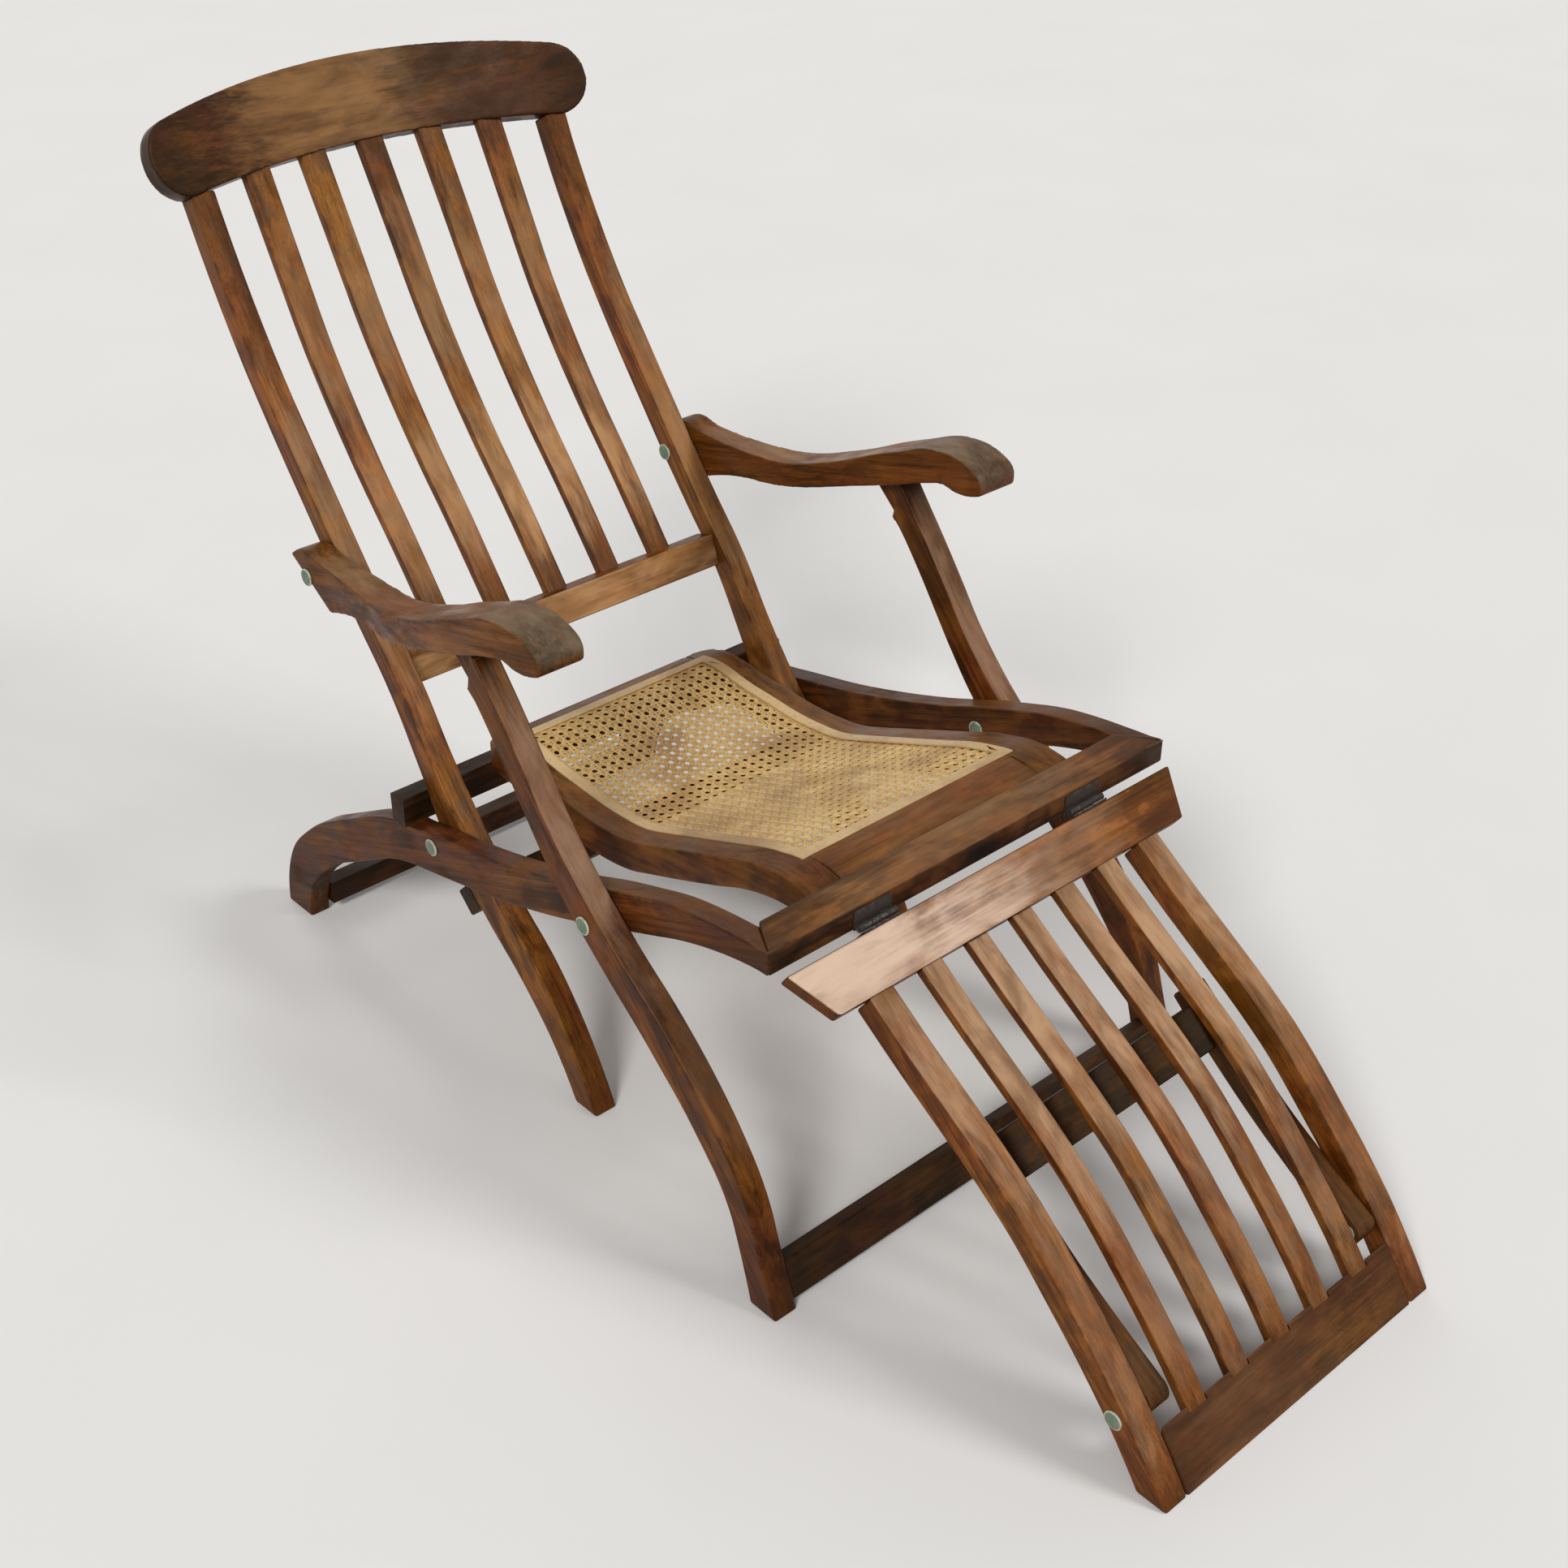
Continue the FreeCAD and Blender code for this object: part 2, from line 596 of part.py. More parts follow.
def armrest():
    """Scrolled arm: side outline and plan outline sawn from one block."""
    rear = line(ARM_UNDER[-1], ARM_TOP[0])
    side = face_of(smooth(ARM_TOP) + smooth(ARM_NOSE) + smooth(ARM_UNDER) + [rear])
    block = between(side, 200.0, 320.0)
    corners = [vec(ARM_INNER_X, ARM_STRAIGHT, 0), vec(ARM_INNER_X, 70.0, 0),
               vec(ARM_REAR_OUTER_X, 70.0, 0), vec(ARM_REAR_OUTER_X, ARM_STRAIGHT, 0)]
    straight = [Part.makeLine(p, q) for p, q in zip(corners, corners[1:])]
    front = Part.makeLine(vec(ARM_INNER[-1][1], ARM_INNER[-1][0], 0),
                          vec(ARM_OUTER[-1][1], ARM_OUTER[-1][0], 0))
    plan = face_of(smooth(ARM_INNER, plan_place) + smooth(ARM_OUTER, plan_place)
                   + [front] + straight)
    plan = plan.extrude(FreeCAD.Vector(0, 0, 400))
    plan.translate(FreeCAD.Vector(0, 0, 300))
    arm = one_solid(block.common(plan))
    # slot for the leg's tongue
    middle = (LEG_INNER_X + LEG_OUTER_X) / 2
    low = middle - TONGUE_THICK / 2 - SLOT_SIDE_CLEARANCE
    high = middle + TONGUE_THICK / 2 + SLOT_SIDE_CLEARANCE
    reach = TONGUE_RADIUS + SLOT_TOP_CLEARANCE
    slot = rod(low, high, ARM_SLOT_PIN, reach)
    pin_f, pin_u = ARM_SLOT_PIN
    rear_edge = [(pin_f + f, pin_u + u) for f, u in SLOT_REAR_EDGE]
    rear_end = rear_edge[-1]
    mouth = polygon([(pin_f - 2.0, pin_u + reach - 0.5), (pin_f + 2.0, pin_u + reach - 0.5),
                     (pin_f + reach + 4.0, pin_u + 7.0), (pin_f + 62.0, pin_u - 42.0),
                     (rear_end[0], pin_u - 70.0)] + rear_edge[::-1], low, high)
    arm = arm.cut(slot).cut(mouth)
    arm = arm.cut(rod(PIN_ENDS[0], PIN_ENDS[1], ARM_SLOT_PIN, ARM_PIN_RADIUS))
    arm = arm.cut(rod(POST_OUTER_X - 5.0, 300.0, ARM_PIVOT, BOLT_RADIUS + BOLT_CLEARANCE))
    return one_solid(arm)


left_arm = armrest()
right_arm = mirrored(left_arm)
slot_pin = rod(PIN_ENDS[0], PIN_ENDS[1], ARM_SLOT_PIN, ARM_PIN_RADIUS)

# Seat.
# Cane seat: four rails round a woven panel, hinged under its front edge to the crossrail
# and resting at the rear on the rest bar.
SEAT_FRONT = CROSSRAIL_REAR - 4.0
SEAT_REAR = 237.0
SEAT_TOP = [(SEAT_REAR, 286.0), (268.0, 294.5), (350.0, 288.5), (435.0, 285.0), (475.0, 289.5),
            (512.0, 302.0), (608.0, 339.0), (665.0, 360.0), (705.0, 368.0), (SEAT_FRONT, 364.5)]
SEAT_LANDING = 256.0          # forward end of the flat that lies on the rest bar
SEAT_UNDER = [(SEAT_LANDING, REST_BAR_TOP + 0.3), (350.0, 254.0), (440.0, 250.0), (480.0, 256.5),
              (520.0, 271.0), (610.0, 307.0), (660.0, 328.0), (700.0, 338.0), (SEAT_FRONT, 339.5)]
SEAT_FRONT_HALF = POST_INNER_X - 33.0
SEAT_REAR_HALF = POST_INNER_X - 49.0
CANE_FRONT = 690.0
CANE_REAR = 268.0
CANE_FRONT_HALF = SEAT_FRONT_HALF - 41.0
CANE_REAR_HALF = SEAT_REAR_HALF - 31.0
CANE_LAP = 7.0                # the cane is laid in a rebate this wide
CANE_THICK = 2.4
CANE_DROP = 1.0
BINDING_INSIDE = 3.0
BINDING_WIDTH = 6.0
BINDING_HEIGHT = 1.2
SEAT_CORNER = 24.0


def plan_prism(front, front_half, rear, rear_half):
    """Upright prism over a plan tapering from front to rear."""
    corners = [vec(-front_half, front, 0), vec(front_half, front, 0),
               vec(rear_half, rear, 0), vec(-rear_half, rear, 0)]
    face = Part.Face(Part.makePolygon(corners + corners[:1]))
    return face.extrude(FreeCAD.Vector(0, 0, 500))


def grown_opening(margin):
    """Cane opening grown by a margin on each side."""
    slope = (CANE_FRONT_HALF - CANE_REAR_HALF) / (CANE_FRONT - CANE_REAR)
    return plan_prism(CANE_FRONT + margin, CANE_FRONT_HALF + margin * (1 + slope),
                      CANE_REAR - margin, CANE_REAR_HALF + margin * (1 - slope))


def seat_layer(top_drop, thick):
    """Sheet that follows the top of the seat."""
    top = [(f, u - top_drop) for f, u in SEAT_TOP]
    under = [(f, u - thick) for f, u in top]
    ends = [line(top[-1], under[-1]), line(under[0], top[0])]
    return between(face_of(smooth(top) + smooth(under) + ends), -SEAT_FRONT_HALF, SEAT_FRONT_HALF)


def seat_slab():
    corner = (SEAT_REAR, REST_BAR_TOP + 0.3)
    ends = [line(SEAT_TOP[-1], SEAT_UNDER[-1]), line(SEAT_UNDER[0], corner),
            line(corner, SEAT_TOP[0])]
    face = face_of(smooth(SEAT_TOP) + smooth(SEAT_UNDER) + ends)
    slab = between(face, -SEAT_FRONT_HALF - 5.0, SEAT_FRONT_HALF + 5.0)
    outline = plan_prism(SEAT_FRONT, SEAT_FRONT_HALF, SEAT_REAR, SEAT_REAR_HALF)
    rear_y = vec(0, SEAT_REAR, 0).y
    outline = eased(outline, SEAT_CORNER, lambda e: e.BoundBox.ZLength > 400.0
                    and abs(e.BoundBox.YMin - rear_y) < 0.01)
    return one_solid(slab.common(outline))


cane_panel = one_solid(seat_layer(CANE_DROP, CANE_THICK).common(grown_opening(CANE_LAP)))
binding = seat_layer(-BINDING_HEIGHT, BINDING_HEIGHT + CANE_DROP)
binding = binding.common(grown_opening(BINDING_INSIDE + BINDING_WIDTH))
binding = one_solid(binding.cut(grown_opening(-BINDING_INSIDE)))
seat_frame = seat_slab().cut(grown_opening(0.0)).cut(cane_panel).cut(binding)

side_zone = Part.makePolygon([vec(CANE_REAR_HALF - 0.5, SEAT_REAR - 10.0, 0), vec(
    CANE_REAR_HALF, CANE_REAR, 0), vec(CANE_FRONT_HALF, CANE_FRONT, 0), vec(
    CANE_FRONT_HALF + 1.0, SEAT_FRONT + 10.0, 0), vec(400.0, SEAT_FRONT + 10.0, 0), vec(
    400.0, SEAT_REAR - 10.0, 0), vec(CANE_REAR_HALF - 0.5, SEAT_REAR - 10.0, 0)])
side_zone = Part.Face(side_zone).extrude(FreeCAD.Vector(0, 0, 500))
seat_left = one_solid(seat_frame.common(side_zone))
seat_right = mirrored(seat_left)
seat_ends = seat_frame.cut(side_zone).cut(mirrored(side_zone))
seat_ends = sorted(seat_ends.Solids, key=lambda s: s.BoundBox.YMin)
seat_front, seat_rear = seat_ends[0], seat_ends[-1]

# Hinges.
HINGE_LEAF = 1.8
BARREL_RADIUS = 3.4
PIN_RADIUS = 1.5
KNUCKLE_GAP = 0.4
SEAT_HINGE_X = 100.0
SEAT_HINGE_LENGTH = 40.0
SEAT_HINGE = (CROSSRAIL_REAR - 2.0, 335.0)
FOOT_HINGE_X = 133.0
FOOT_HINGE_LENGTH = 44.0
FOOT_PIVOT = (CROSSRAIL_FRONT + 6.5, 352.5)
FOOT_SLOPE = -36.5


def hinge_pair(x_mid, length, pivot, fixed_leaf, moving_leaf):
    """Butt hinge of three knuckles: the fixed leaf holds the outer two and the pin."""
    low = x_mid - length / 2
    third = length / 3
    outer_spans = [(low, low + third - KNUCKLE_GAP / 2),
                   (low + 2 * third + KNUCKLE_GAP / 2, low + length)]
    middle = (low + third + KNUCKLE_GAP / 2, low + 2 * third - KNUCKLE_GAP / 2)
    fixed = rod(low, low + length, pivot, PIN_RADIUS)
    for a, b in outer_spans:
        fixed = fixed.fuse(rod(a, b, pivot, BARREL_RADIUS))
        for outline in fixed_leaf[1:]:
            fixed = fixed.fuse(polygon(outline, a, b))
    fixed = fixed.fuse(polygon(fixed_leaf[0], low, low + length))
    moving = rod(middle[0], middle[1], pivot, BARREL_RADIUS)
    for outline in moving_leaf[1:]:
        moving = moving.fuse(polygon(outline, middle[0], middle[1]))
    moving = moving.fuse(polygon(moving_leaf[0], low, low + length))
    moving = moving.cut(rod(low - 1.0, low + length + 1.0, pivot, PIN_RADIUS + 0.05))
    return one_solid(fixed.removeSplitter()), one_solid(moving.removeSplitter())


def box_outline(f_low, f_high, u_low, u_high):
    return [(f_low, u_low), (f_high, u_low), (f_high, u_high), (f_low, u_high)]


def foot_local(along, above):
    """Place on the footrest board: along its slope from the hinge, and above the hinge."""
    return turned((FOOT_PIVOT[0] + along, FOOT_PIVOT[1] + above), FOOT_PIVOT, FOOT_SLOPE)


def foot_box(along_low, along_high, above_low, above_high):
    return [foot_local(a, b) for a, b in (
        (along_low, above_low), (along_high, above_low),
        (along_high, above_high), (along_low, above_high))]


seat_under_front = SEAT_UNDER[-1][1]
seat_fixed_leaf = [
    box_outline(CROSSRAIL_REAR + 2.0, CROSSRAIL_REAR + 28.0,
                CROSSRAIL_BOTTOM - HINGE_LEAF, CROSSRAIL_BOTTOM),
    box_outline(CROSSRAIL_REAR + 2.0, CROSSRAIL_REAR + 2.0 + HINGE_LEAF,
                SEAT_HINGE[1] - 1.0, CROSSRAIL_BOTTOM - HINGE_LEAF / 2),
    box_outline(SEAT_HINGE[0], CROSSRAIL_REAR + 2.0 + HINGE_LEAF,
                SEAT_HINGE[1] - 2.0, SEAT_HINGE[1]),
]
seat_moving_leaf = [
    box_outline(SEAT_FRONT - 28.0, SEAT_FRONT - 3.0,
                seat_under_front - 1.2 - HINGE_LEAF, seat_under_front - 1.2),
    box_outline(SEAT_FRONT - 8.0, SEAT_HINGE[0],
                seat_under_front - 1.2 - HINGE_LEAF, seat_under_front - 1.2),
]
HINGE_SEAT_POCKET = box_outline(SEAT_FRONT - 28.0, SEAT_FRONT + 5.0,
                                seat_under_front - 10.0, seat_under_front - 1.2)
seat_hinge_fixed, seat_hinge_moving = hinge_pair(
    SEAT_HINGE_X, SEAT_HINGE_LENGTH, SEAT_HINGE, seat_fixed_leaf, seat_moving_leaf)
seat_front = one_solid(seat_front.cut(polygon(HINGE_SEAT_POCKET, -400.0, 400.0)))

BOARD_NEAR = 6.0
BOARD_FAR = 55.0
BOARD_TOP = 5.0
BOARD_BOTTOM = -12.0
foot_fixed_leaf = [
    box_outline(CROSSRAIL_FRONT, CROSSRAIL_FRONT + HINGE_LEAF,
                CROSSRAIL_BOTTOM + 1.0, CROSSRAIL_TOP - 3.0),
    box_outline(CROSSRAIL_FRONT, FOOT_PIVOT[0], FOOT_PIVOT[1] - 1.0, FOOT_PIVOT[1] + 1.0),
]
foot_moving_leaf = [
    foot_box(BOARD_NEAR - HINGE_LEAF, BOARD_NEAR, BOARD_BOTTOM + 1.0, BOARD_TOP - 1.0),
    foot_box(0.0, BOARD_NEAR, -1.0, 1.0),
]
foot_hinge_fixed, foot_hinge_moving = hinge_pair(
    FOOT_HINGE_X, FOOT_HINGE_LENGTH, FOOT_PIVOT, foot_fixed_leaf, foot_moving_leaf)

# Footrest.
FOOT_BOARD_HALF = RAIL_OUTER_X - 7.0
FOOT_BOARD_FAR_HALF = RAIL_OUTER_X - 30.0
FOOT_RAIL_OUTER_X = 185.0
FOOT_RAIL_THICK = 28.0
FOOT_RAIL_INNER_X = FOOT_RAIL_OUTER_X - FOOT_RAIL_THICK
FOOT_RAIL_DEPTH = 27.0
FOOT_TENON = 12.0
FOOT_TOP = [(812.0, 339.0), (890.0, 283.8), (950.0, 244.5), (1010.0, 201.2), (1070.0, 143.5),
            (1130.0, 78.0), (1193.0, -13.0)]
FOOT_SLAT_X = [-112.0, -56.0, 0.0, 56.0, 112.0]
FOOT_SLAT_WIDTH = 24.0
FOOT_SLAT_DEPTH = 11.0
BOTTOM_BOARD_START = 1150.0
BOTTOM_BOARD_DEPTH = 17.0


def below(top_points, depth):
    """Centre stations of a bar whose top edge runs through the points."""
    stations = []
    for i, (f, u) in enumerate(top_points):
        before = top_points[max(i - 1, 0)]
        after = top_points[min(i + 1, len(top_points) - 1)]
        df, du = after[0] - before[0], after[1] - before[1]
        length = math.hypot(df, du)
        stations.append((f + du / length * depth / 2, u - df / length * depth / 2, depth))
    return stations


def footrest_board():
    """Top board with slanted ends, seen square to its face."""
    board = polygon(foot_box(BOARD_NEAR, BOARD_FAR, BOARD_BOTTOM, BOARD_TOP),
                    -FOOT_BOARD_HALF, FOOT_BOARD_HALF)
    near, far = foot_local(BOARD_NEAR, 0.0), foot_local(BOARD_FAR, 0.0)
    normal = foot_local(0.0, 1.0)
    normal = (normal[0] - FOOT_PIVOT[0], normal[1] - FOOT_PIVOT[1])
    corners = [vec(-FOOT_BOARD_HALF, *near), vec(FOOT_BOARD_HALF, *near),
               vec(FOOT_BOARD_FAR_HALF, *far), vec(-FOOT_BOARD_FAR_HALF, *far)]
    lift = vec(0, 60.0 * normal[0], 60.0 * normal[1]) - vec(0, 0, 0)
    outline = Part.Face(Part.makePolygon(corners + corners[:1]))
    outline.translate(lift * -0.5)
    outline = outline.extrude(lift)
    return one_solid(board.common(outline))


beyond_board = foot_box(BOARD_FAR, 800.0, -300.0, 300.0)
tenon_section = foot_box(BOARD_FAR - FOOT_TENON, BOARD_FAR + 4.0, BOARD_BOTTOM + 4.0,
                         BOARD_TOP - 4.0)


def foot_member(depth, x_low, x_high, tenon_inset):
    """Bar from the board to the floor line with a stub tenon into the board."""
    bar = bent_bar(below(FOOT_TOP, depth), x_low, x_high)
    bar = bar.common(polygon(beyond_board, x_low - 1.0, x_high + 1.0))
    tenon = polygon(tenon_section, x_low + tenon_inset, x_high - tenon_inset)
    return bar, tenon


def foot_rail():
    bar, tenon = foot_member(FOOT_RAIL_DEPTH, FOOT_RAIL_INNER_X, FOOT_RAIL_OUTER_X, 5.0)
    rail = one_solid(keep_above_floor(bar.fuse(tenon)))
    return one_solid(rail.cut(rod(FOOT_RAIL_INNER_X - 5.0, FOOT_RAIL_OUTER_X + 5.0,
                                  FOOT_LEG_PIVOT, BOLT_RADIUS)))


def foot_slat(x):
    low, high = x - FOOT_SLAT_WIDTH / 2, x + FOOT_SLAT_WIDTH / 2
    bar, tenon = foot_member(FOOT_SLAT_DEPTH, low, high, 3.0)
    bar = one_solid(bar.cut(polygon(box_outline(BOTTOM_BOARD_START + 10.0, 1300.0, -100.0, 300.0),
                                    low - 1.0, high + 1.0)))
    return one_solid(bar.fuse(tenon))


def bottom_board():
    board = bent_bar(below(FOOT_TOP, BOTTOM_BOARD_DEPTH),
                     -FOOT_RAIL_INNER_X, FOOT_RAIL_INNER_X)
    board = board.cut(polygon(box_outline(700.0, BOTTOM_BOARD_START, -100.0, 500.0),
                              -FOOT_RAIL_INNER_X - 1.0, FOOT_RAIL_INNER_X + 1.0))
    return one_solid(keep_above_floor(board))


FOOT_LEG_PIVOT = (1124.0, 61.0)
FOOT_LEG_OUTER_X = FOOT_RAIL_INNER_X - 1.5
FOOT_LEG_THICK = 24.0
FOOT_LEG_INNER_X = FOOT_LEG_OUTER_X - FOOT_LEG_THICK
FOOT_LEG_STATIONS = [(918.0, 211.5, 24.0), (950.0, 184.5, 26.0), (1034.0, 119.0, 26.0),
                     (1085.0, 86.0, 27.0), (1124.0, 61.0, 27.0)]
FOOT_LEG_BAR = (944.0, 184.0)
FOOT_LEG_BAR_SIZE = (44.0, 14.0)

foot_board = footrest_board()
foot_left = foot_rail()
foot_right = mirrored(foot_left)
foot_slats = [foot_slat(x) for x in FOOT_SLAT_X]
foot_bottom = bottom_board()
for piece in foot_slats:
    foot_bottom = foot_bottom.cut(piece)
foot_bottom = one_solid(foot_bottom)
for piece in foot_slats + [foot_left, foot_right]:
    foot_board = foot_board.cut(piece)
foot_board = one_solid(foot_board)


def footrest_leg():
    leg = bent_bar(FOOT_LEG_STATIONS, FOOT_LEG_INNER_X, FOOT_LEG_OUTER_X)
    leg = leg.fuse(rod(FOOT_LEG_INNER_X, FOOT_LEG_OUTER_X, FOOT_LEG_PIVOT,
                       FOOT_LEG_STATIONS[-1][2] / 2))
    return one_solid(leg.cut(rod(FOOT_LEG_INNER_X - 5.0, FOOT_LEG_OUTER_X + 5.0, FOOT_LEG_PIVOT,
                                 BOLT_RADIUS + BOLT_CLEARANCE)))


foot_leg_left = footrest_leg()
foot_leg_right = mirrored(foot_leg_left)
foot_leg_bar = tilted_bar(FOOT_LEG_BAR, -41.0, FOOT_LEG_BAR_SIZE[0], FOOT_LEG_BAR_SIZE[1],
                          -FOOT_LEG_INNER_X, FOOT_LEG_INNER_X)

# Bolts in place.
TOUCH = 0.2                   # bolt head or nut to a piece that turns on the bolt
back_bolt = headed_bolt(RAIL_OUTER_X, POST_INNER_X - TOUCH, BACK_PIVOT)
leg_bolt = headed_bolt(LEG_OUTER_X + TOUCH, RAIL_INNER_X, LEG_PIVOT)
arm_bolt = headed_bolt(ARM_REAR_OUTER_X + TOUCH, POST_INNER_X, ARM_PIVOT)
foot_bolt = headed_bolt(FOOT_RAIL_OUTER_X, FOOT_LEG_INNER_X - TOUCH, FOOT_LEG_PIVOT)

export("left_side_rail", [left_rail])
export("right_side_rail", [right_rail])
export("front_crossrail", [crossrail])
export("rest_bar", [rest_bar])
export("rear_stretcher", [rear_stretcher])
export("left_back_post", [left_post])
export("right_back_post", [right_post])
export("crest_rail", [crest])
export("back_crossbar", [crossbar])
export("leg_stretcher", [leg_stretcher])
for number, slat in enumerate(slats, start=1):
    export("back_slat_%d" % number, [slat])
export("left_front_leg", [left_leg])
export("right_front_leg", [right_leg])
export("front_stretcher", [front_stretcher])
export("left_arm", [left_arm])
export("right_arm", [right_arm])
export("left_arm_pin", [slot_pin])
export("right_arm_pin", [mirrored(slot_pin)])
export("back_pivot_bolts", [back_bolt, mirrored(back_bolt)])
export("leg_pivot_bolts", [leg_bolt, mirrored(leg_bolt)])
export("arm_bolts", [arm_bolt, mirrored(arm_bolt)])
export("seat_left_rail", [seat_left])
export("seat_right_rail", [seat_right])
export("seat_front_rail", [seat_front])
export("seat_rear_rail", [seat_rear])
export("cane_panel", [cane_panel])
export("cane_binding", [binding])
export("seat_hinge_crossrail_leaves", [seat_hinge_fixed, mirrored(seat_hinge_fixed)])
export("seat_hinge_seat_leaves", [seat_hinge_moving, mirrored(seat_hinge_moving)])
export("footrest_hinge_crossrail_leaves", [foot_hinge_fixed, mirrored(foot_hinge_fixed)])
export("footrest_hinge_board_leaves", [foot_hinge_moving, mirrored(foot_hinge_moving)])
export("footrest_top_board", [foot_board])
export("footrest_left_rail", [foot_left])
export("footrest_right_rail", [foot_right])
for number, slat in enumerate(foot_slats, start=1):
    export("footrest_slat_%d" % number, [slat])
export("footrest_bottom_board", [foot_bottom])
export("footrest_bolts", [foot_bolt, mirrored(foot_bolt)])
export("footrest_left_leg", [foot_leg_left])
export("footrest_right_leg", [foot_leg_right])
export("footrest_leg_crossbar", [foot_leg_bar])
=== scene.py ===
"""Steamer deck chair: waxed timber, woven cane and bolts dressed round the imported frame."""

import logging
import math
from collections.abc import Iterator
from contextlib import contextmanager
from dataclasses import dataclass
from enum import Enum

import bmesh
import bpy
import numpy as np
from mathutils import Matrix, Vector


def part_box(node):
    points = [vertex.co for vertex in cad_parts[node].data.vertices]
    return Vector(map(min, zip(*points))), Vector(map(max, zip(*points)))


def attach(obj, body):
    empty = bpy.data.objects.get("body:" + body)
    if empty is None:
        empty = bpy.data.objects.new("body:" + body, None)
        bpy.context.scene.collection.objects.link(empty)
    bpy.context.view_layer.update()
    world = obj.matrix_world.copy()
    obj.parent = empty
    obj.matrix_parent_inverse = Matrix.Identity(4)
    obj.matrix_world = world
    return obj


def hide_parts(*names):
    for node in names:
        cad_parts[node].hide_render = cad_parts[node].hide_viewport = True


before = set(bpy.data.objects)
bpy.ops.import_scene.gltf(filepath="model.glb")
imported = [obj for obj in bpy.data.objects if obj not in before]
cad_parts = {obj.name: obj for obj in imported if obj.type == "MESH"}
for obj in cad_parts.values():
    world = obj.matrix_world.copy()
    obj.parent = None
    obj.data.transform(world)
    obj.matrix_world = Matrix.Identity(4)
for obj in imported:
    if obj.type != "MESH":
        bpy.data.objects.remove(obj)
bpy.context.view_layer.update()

log = logging.getLogger("deck_chair")

# Short names for the types that recur.
Material, Mesh, Thing = bpy.types.Material, bpy.types.Mesh, bpy.types.Object
Node, NodeTree, Socket = bpy.types.Node, bpy.types.NodeTree, bpy.types.NodeSocket
Colour = tuple[float, float, float]
Place = tuple[float, float, float]

# Modelling steps: lengths in metres, angles in degrees.
MERGE_WITHIN = 0.00003
FLAT_WITHIN = 0.6
ARRIS_FROM = 42.0
SMOOTH_BELOW = 38.0
SMOOTH_METAL = 32.0
SMOOTH_CANE = 50.0
RIM_FROM = 35.0
BROAD_WEIGHT = 80
WEAR_GRID = 0.0015
WEAR_FACTOR = 0.6
WORN_BY = 0.7  # share of the grid's size that counts as fully worn
ROOM_SHARE = 0.45  # share of the room beside an edge that its rounding may take
LEAST_SHARE = 0.12  # an edge that has room for less of its rounding stays crisp
STRAIGHT_ON = -0.82  # cosine under which a neighbour carries an edge straight on

# Where the back posts end under the crest rail: a point of the plane and the way that is cut away.
CREST_SHOULDER = ((0.0, 0.5788, 0.7945), (0.0, 0.448, 0.894))


class Slot(Enum):
    """Material slots of the record."""

    DARK = "dark_walnut"
    BACK = "back_timber"
    RAIL = "rail_timber"
    LEG = "leg_timber"
    ARM = "arm_timber"
    SEAT = "seat_timber"
    FOOT = "footrest_timber"
    CANE = "cane"
    BINDING = "cane_binding"
    BRASS = "bolt_brass"
    IRON = "dark_iron"


class Side(Enum):
    """Directions that a changed face looks in, in the chair's frame."""

    UP = (0.0, 0.0, 1.0)
    SITTER = (0.0, -0.86, 0.5)
    FRONT = (0.0, -0.95, 0.3)
    FOOT_TOP = (0.0, -0.66, 0.75)
    AHEAD = (0.0, -1.0, -0.1)
    NOSE = (0.0, -0.55, 0.84)


# Plain modelling steps that every piece shares.


def only(piece: Thing) -> None:
    """Select one object alone and make it active.

    Args:
        piece: the object to work on.
    """
    for other in bpy.context.selected_objects:
        other.select_set(False)
    piece.select_set(True)
    bpy.context.view_layer.objects.active = piece


def link(name: str, data: bpy.types.ID) -> Thing:
    """Put a mesh, lamp or camera into the scene as an object at the origin.

    Args:
        name: name of the new object.
        data: what it shows; a mesh is already in the chair's frame.

    Returns:
        The new object.
    """
    thing = bpy.data.objects.new(name, data)
    bpy.context.scene.collection.objects.link(thing)
    return thing


@contextmanager
def editing(piece: Thing) -> Iterator[None]:
    """Keep a piece in edit mode, with all of its mesh selected at first.

    Args:
        piece: the object to edit.

    Yields:
        Nothing, while the piece is being edited.
    """
    only(piece)
    bpy.ops.object.mode_set(mode="EDIT")
    bpy.ops.mesh.select_all(action="SELECT")
    yield
    bpy.ops.object.mode_set(mode="OBJECT")


def places_of(mesh: Mesh) -> np.ndarray:
    """Read a mesh's vertices.

    Args:
        mesh: the mesh to read.

    Returns:
        One row of X, Y and Z for each vertex.
    """
    places = np.zeros(len(mesh.vertices) * 3)
    mesh.vertices.foreach_get("co", places)
    return places.reshape(-1, 3)


def store(mesh: Mesh, name: str, values: object) -> None:
    """Store one number for each vertex of a mesh, for its material to read."""
    mesh.attributes.new(name, "FLOAT", "POINT").data.foreach_set("value", values)


def apply_all(piece: Thing) -> None:
    """Apply every modifier of a piece in order.

    Args:
        piece: the object whose modifiers are applied.
    """
    only(piece)
    for modifier in list(piece.modifiers):
        bpy.ops.object.modifier_apply(modifier=modifier.name)


def smooth_shade(piece: Thing, degrees: float = SMOOTH_BELOW) -> None:
    """Shade a piece smooth with its broad faces kept flat.

    Args:
        piece: the object to shade.
        degrees: edges that turn by more than this stay sharp.
    """
    only(piece)
    bpy.ops.object.shade_smooth_by_angle(angle=math.radians(degrees))
    weighted = piece.modifiers.new("broad_faces", "WEIGHTED_NORMAL")
    weighted.keep_sharp = True
    weighted.weight = BROAD_WEIGHT
    apply_all(piece)


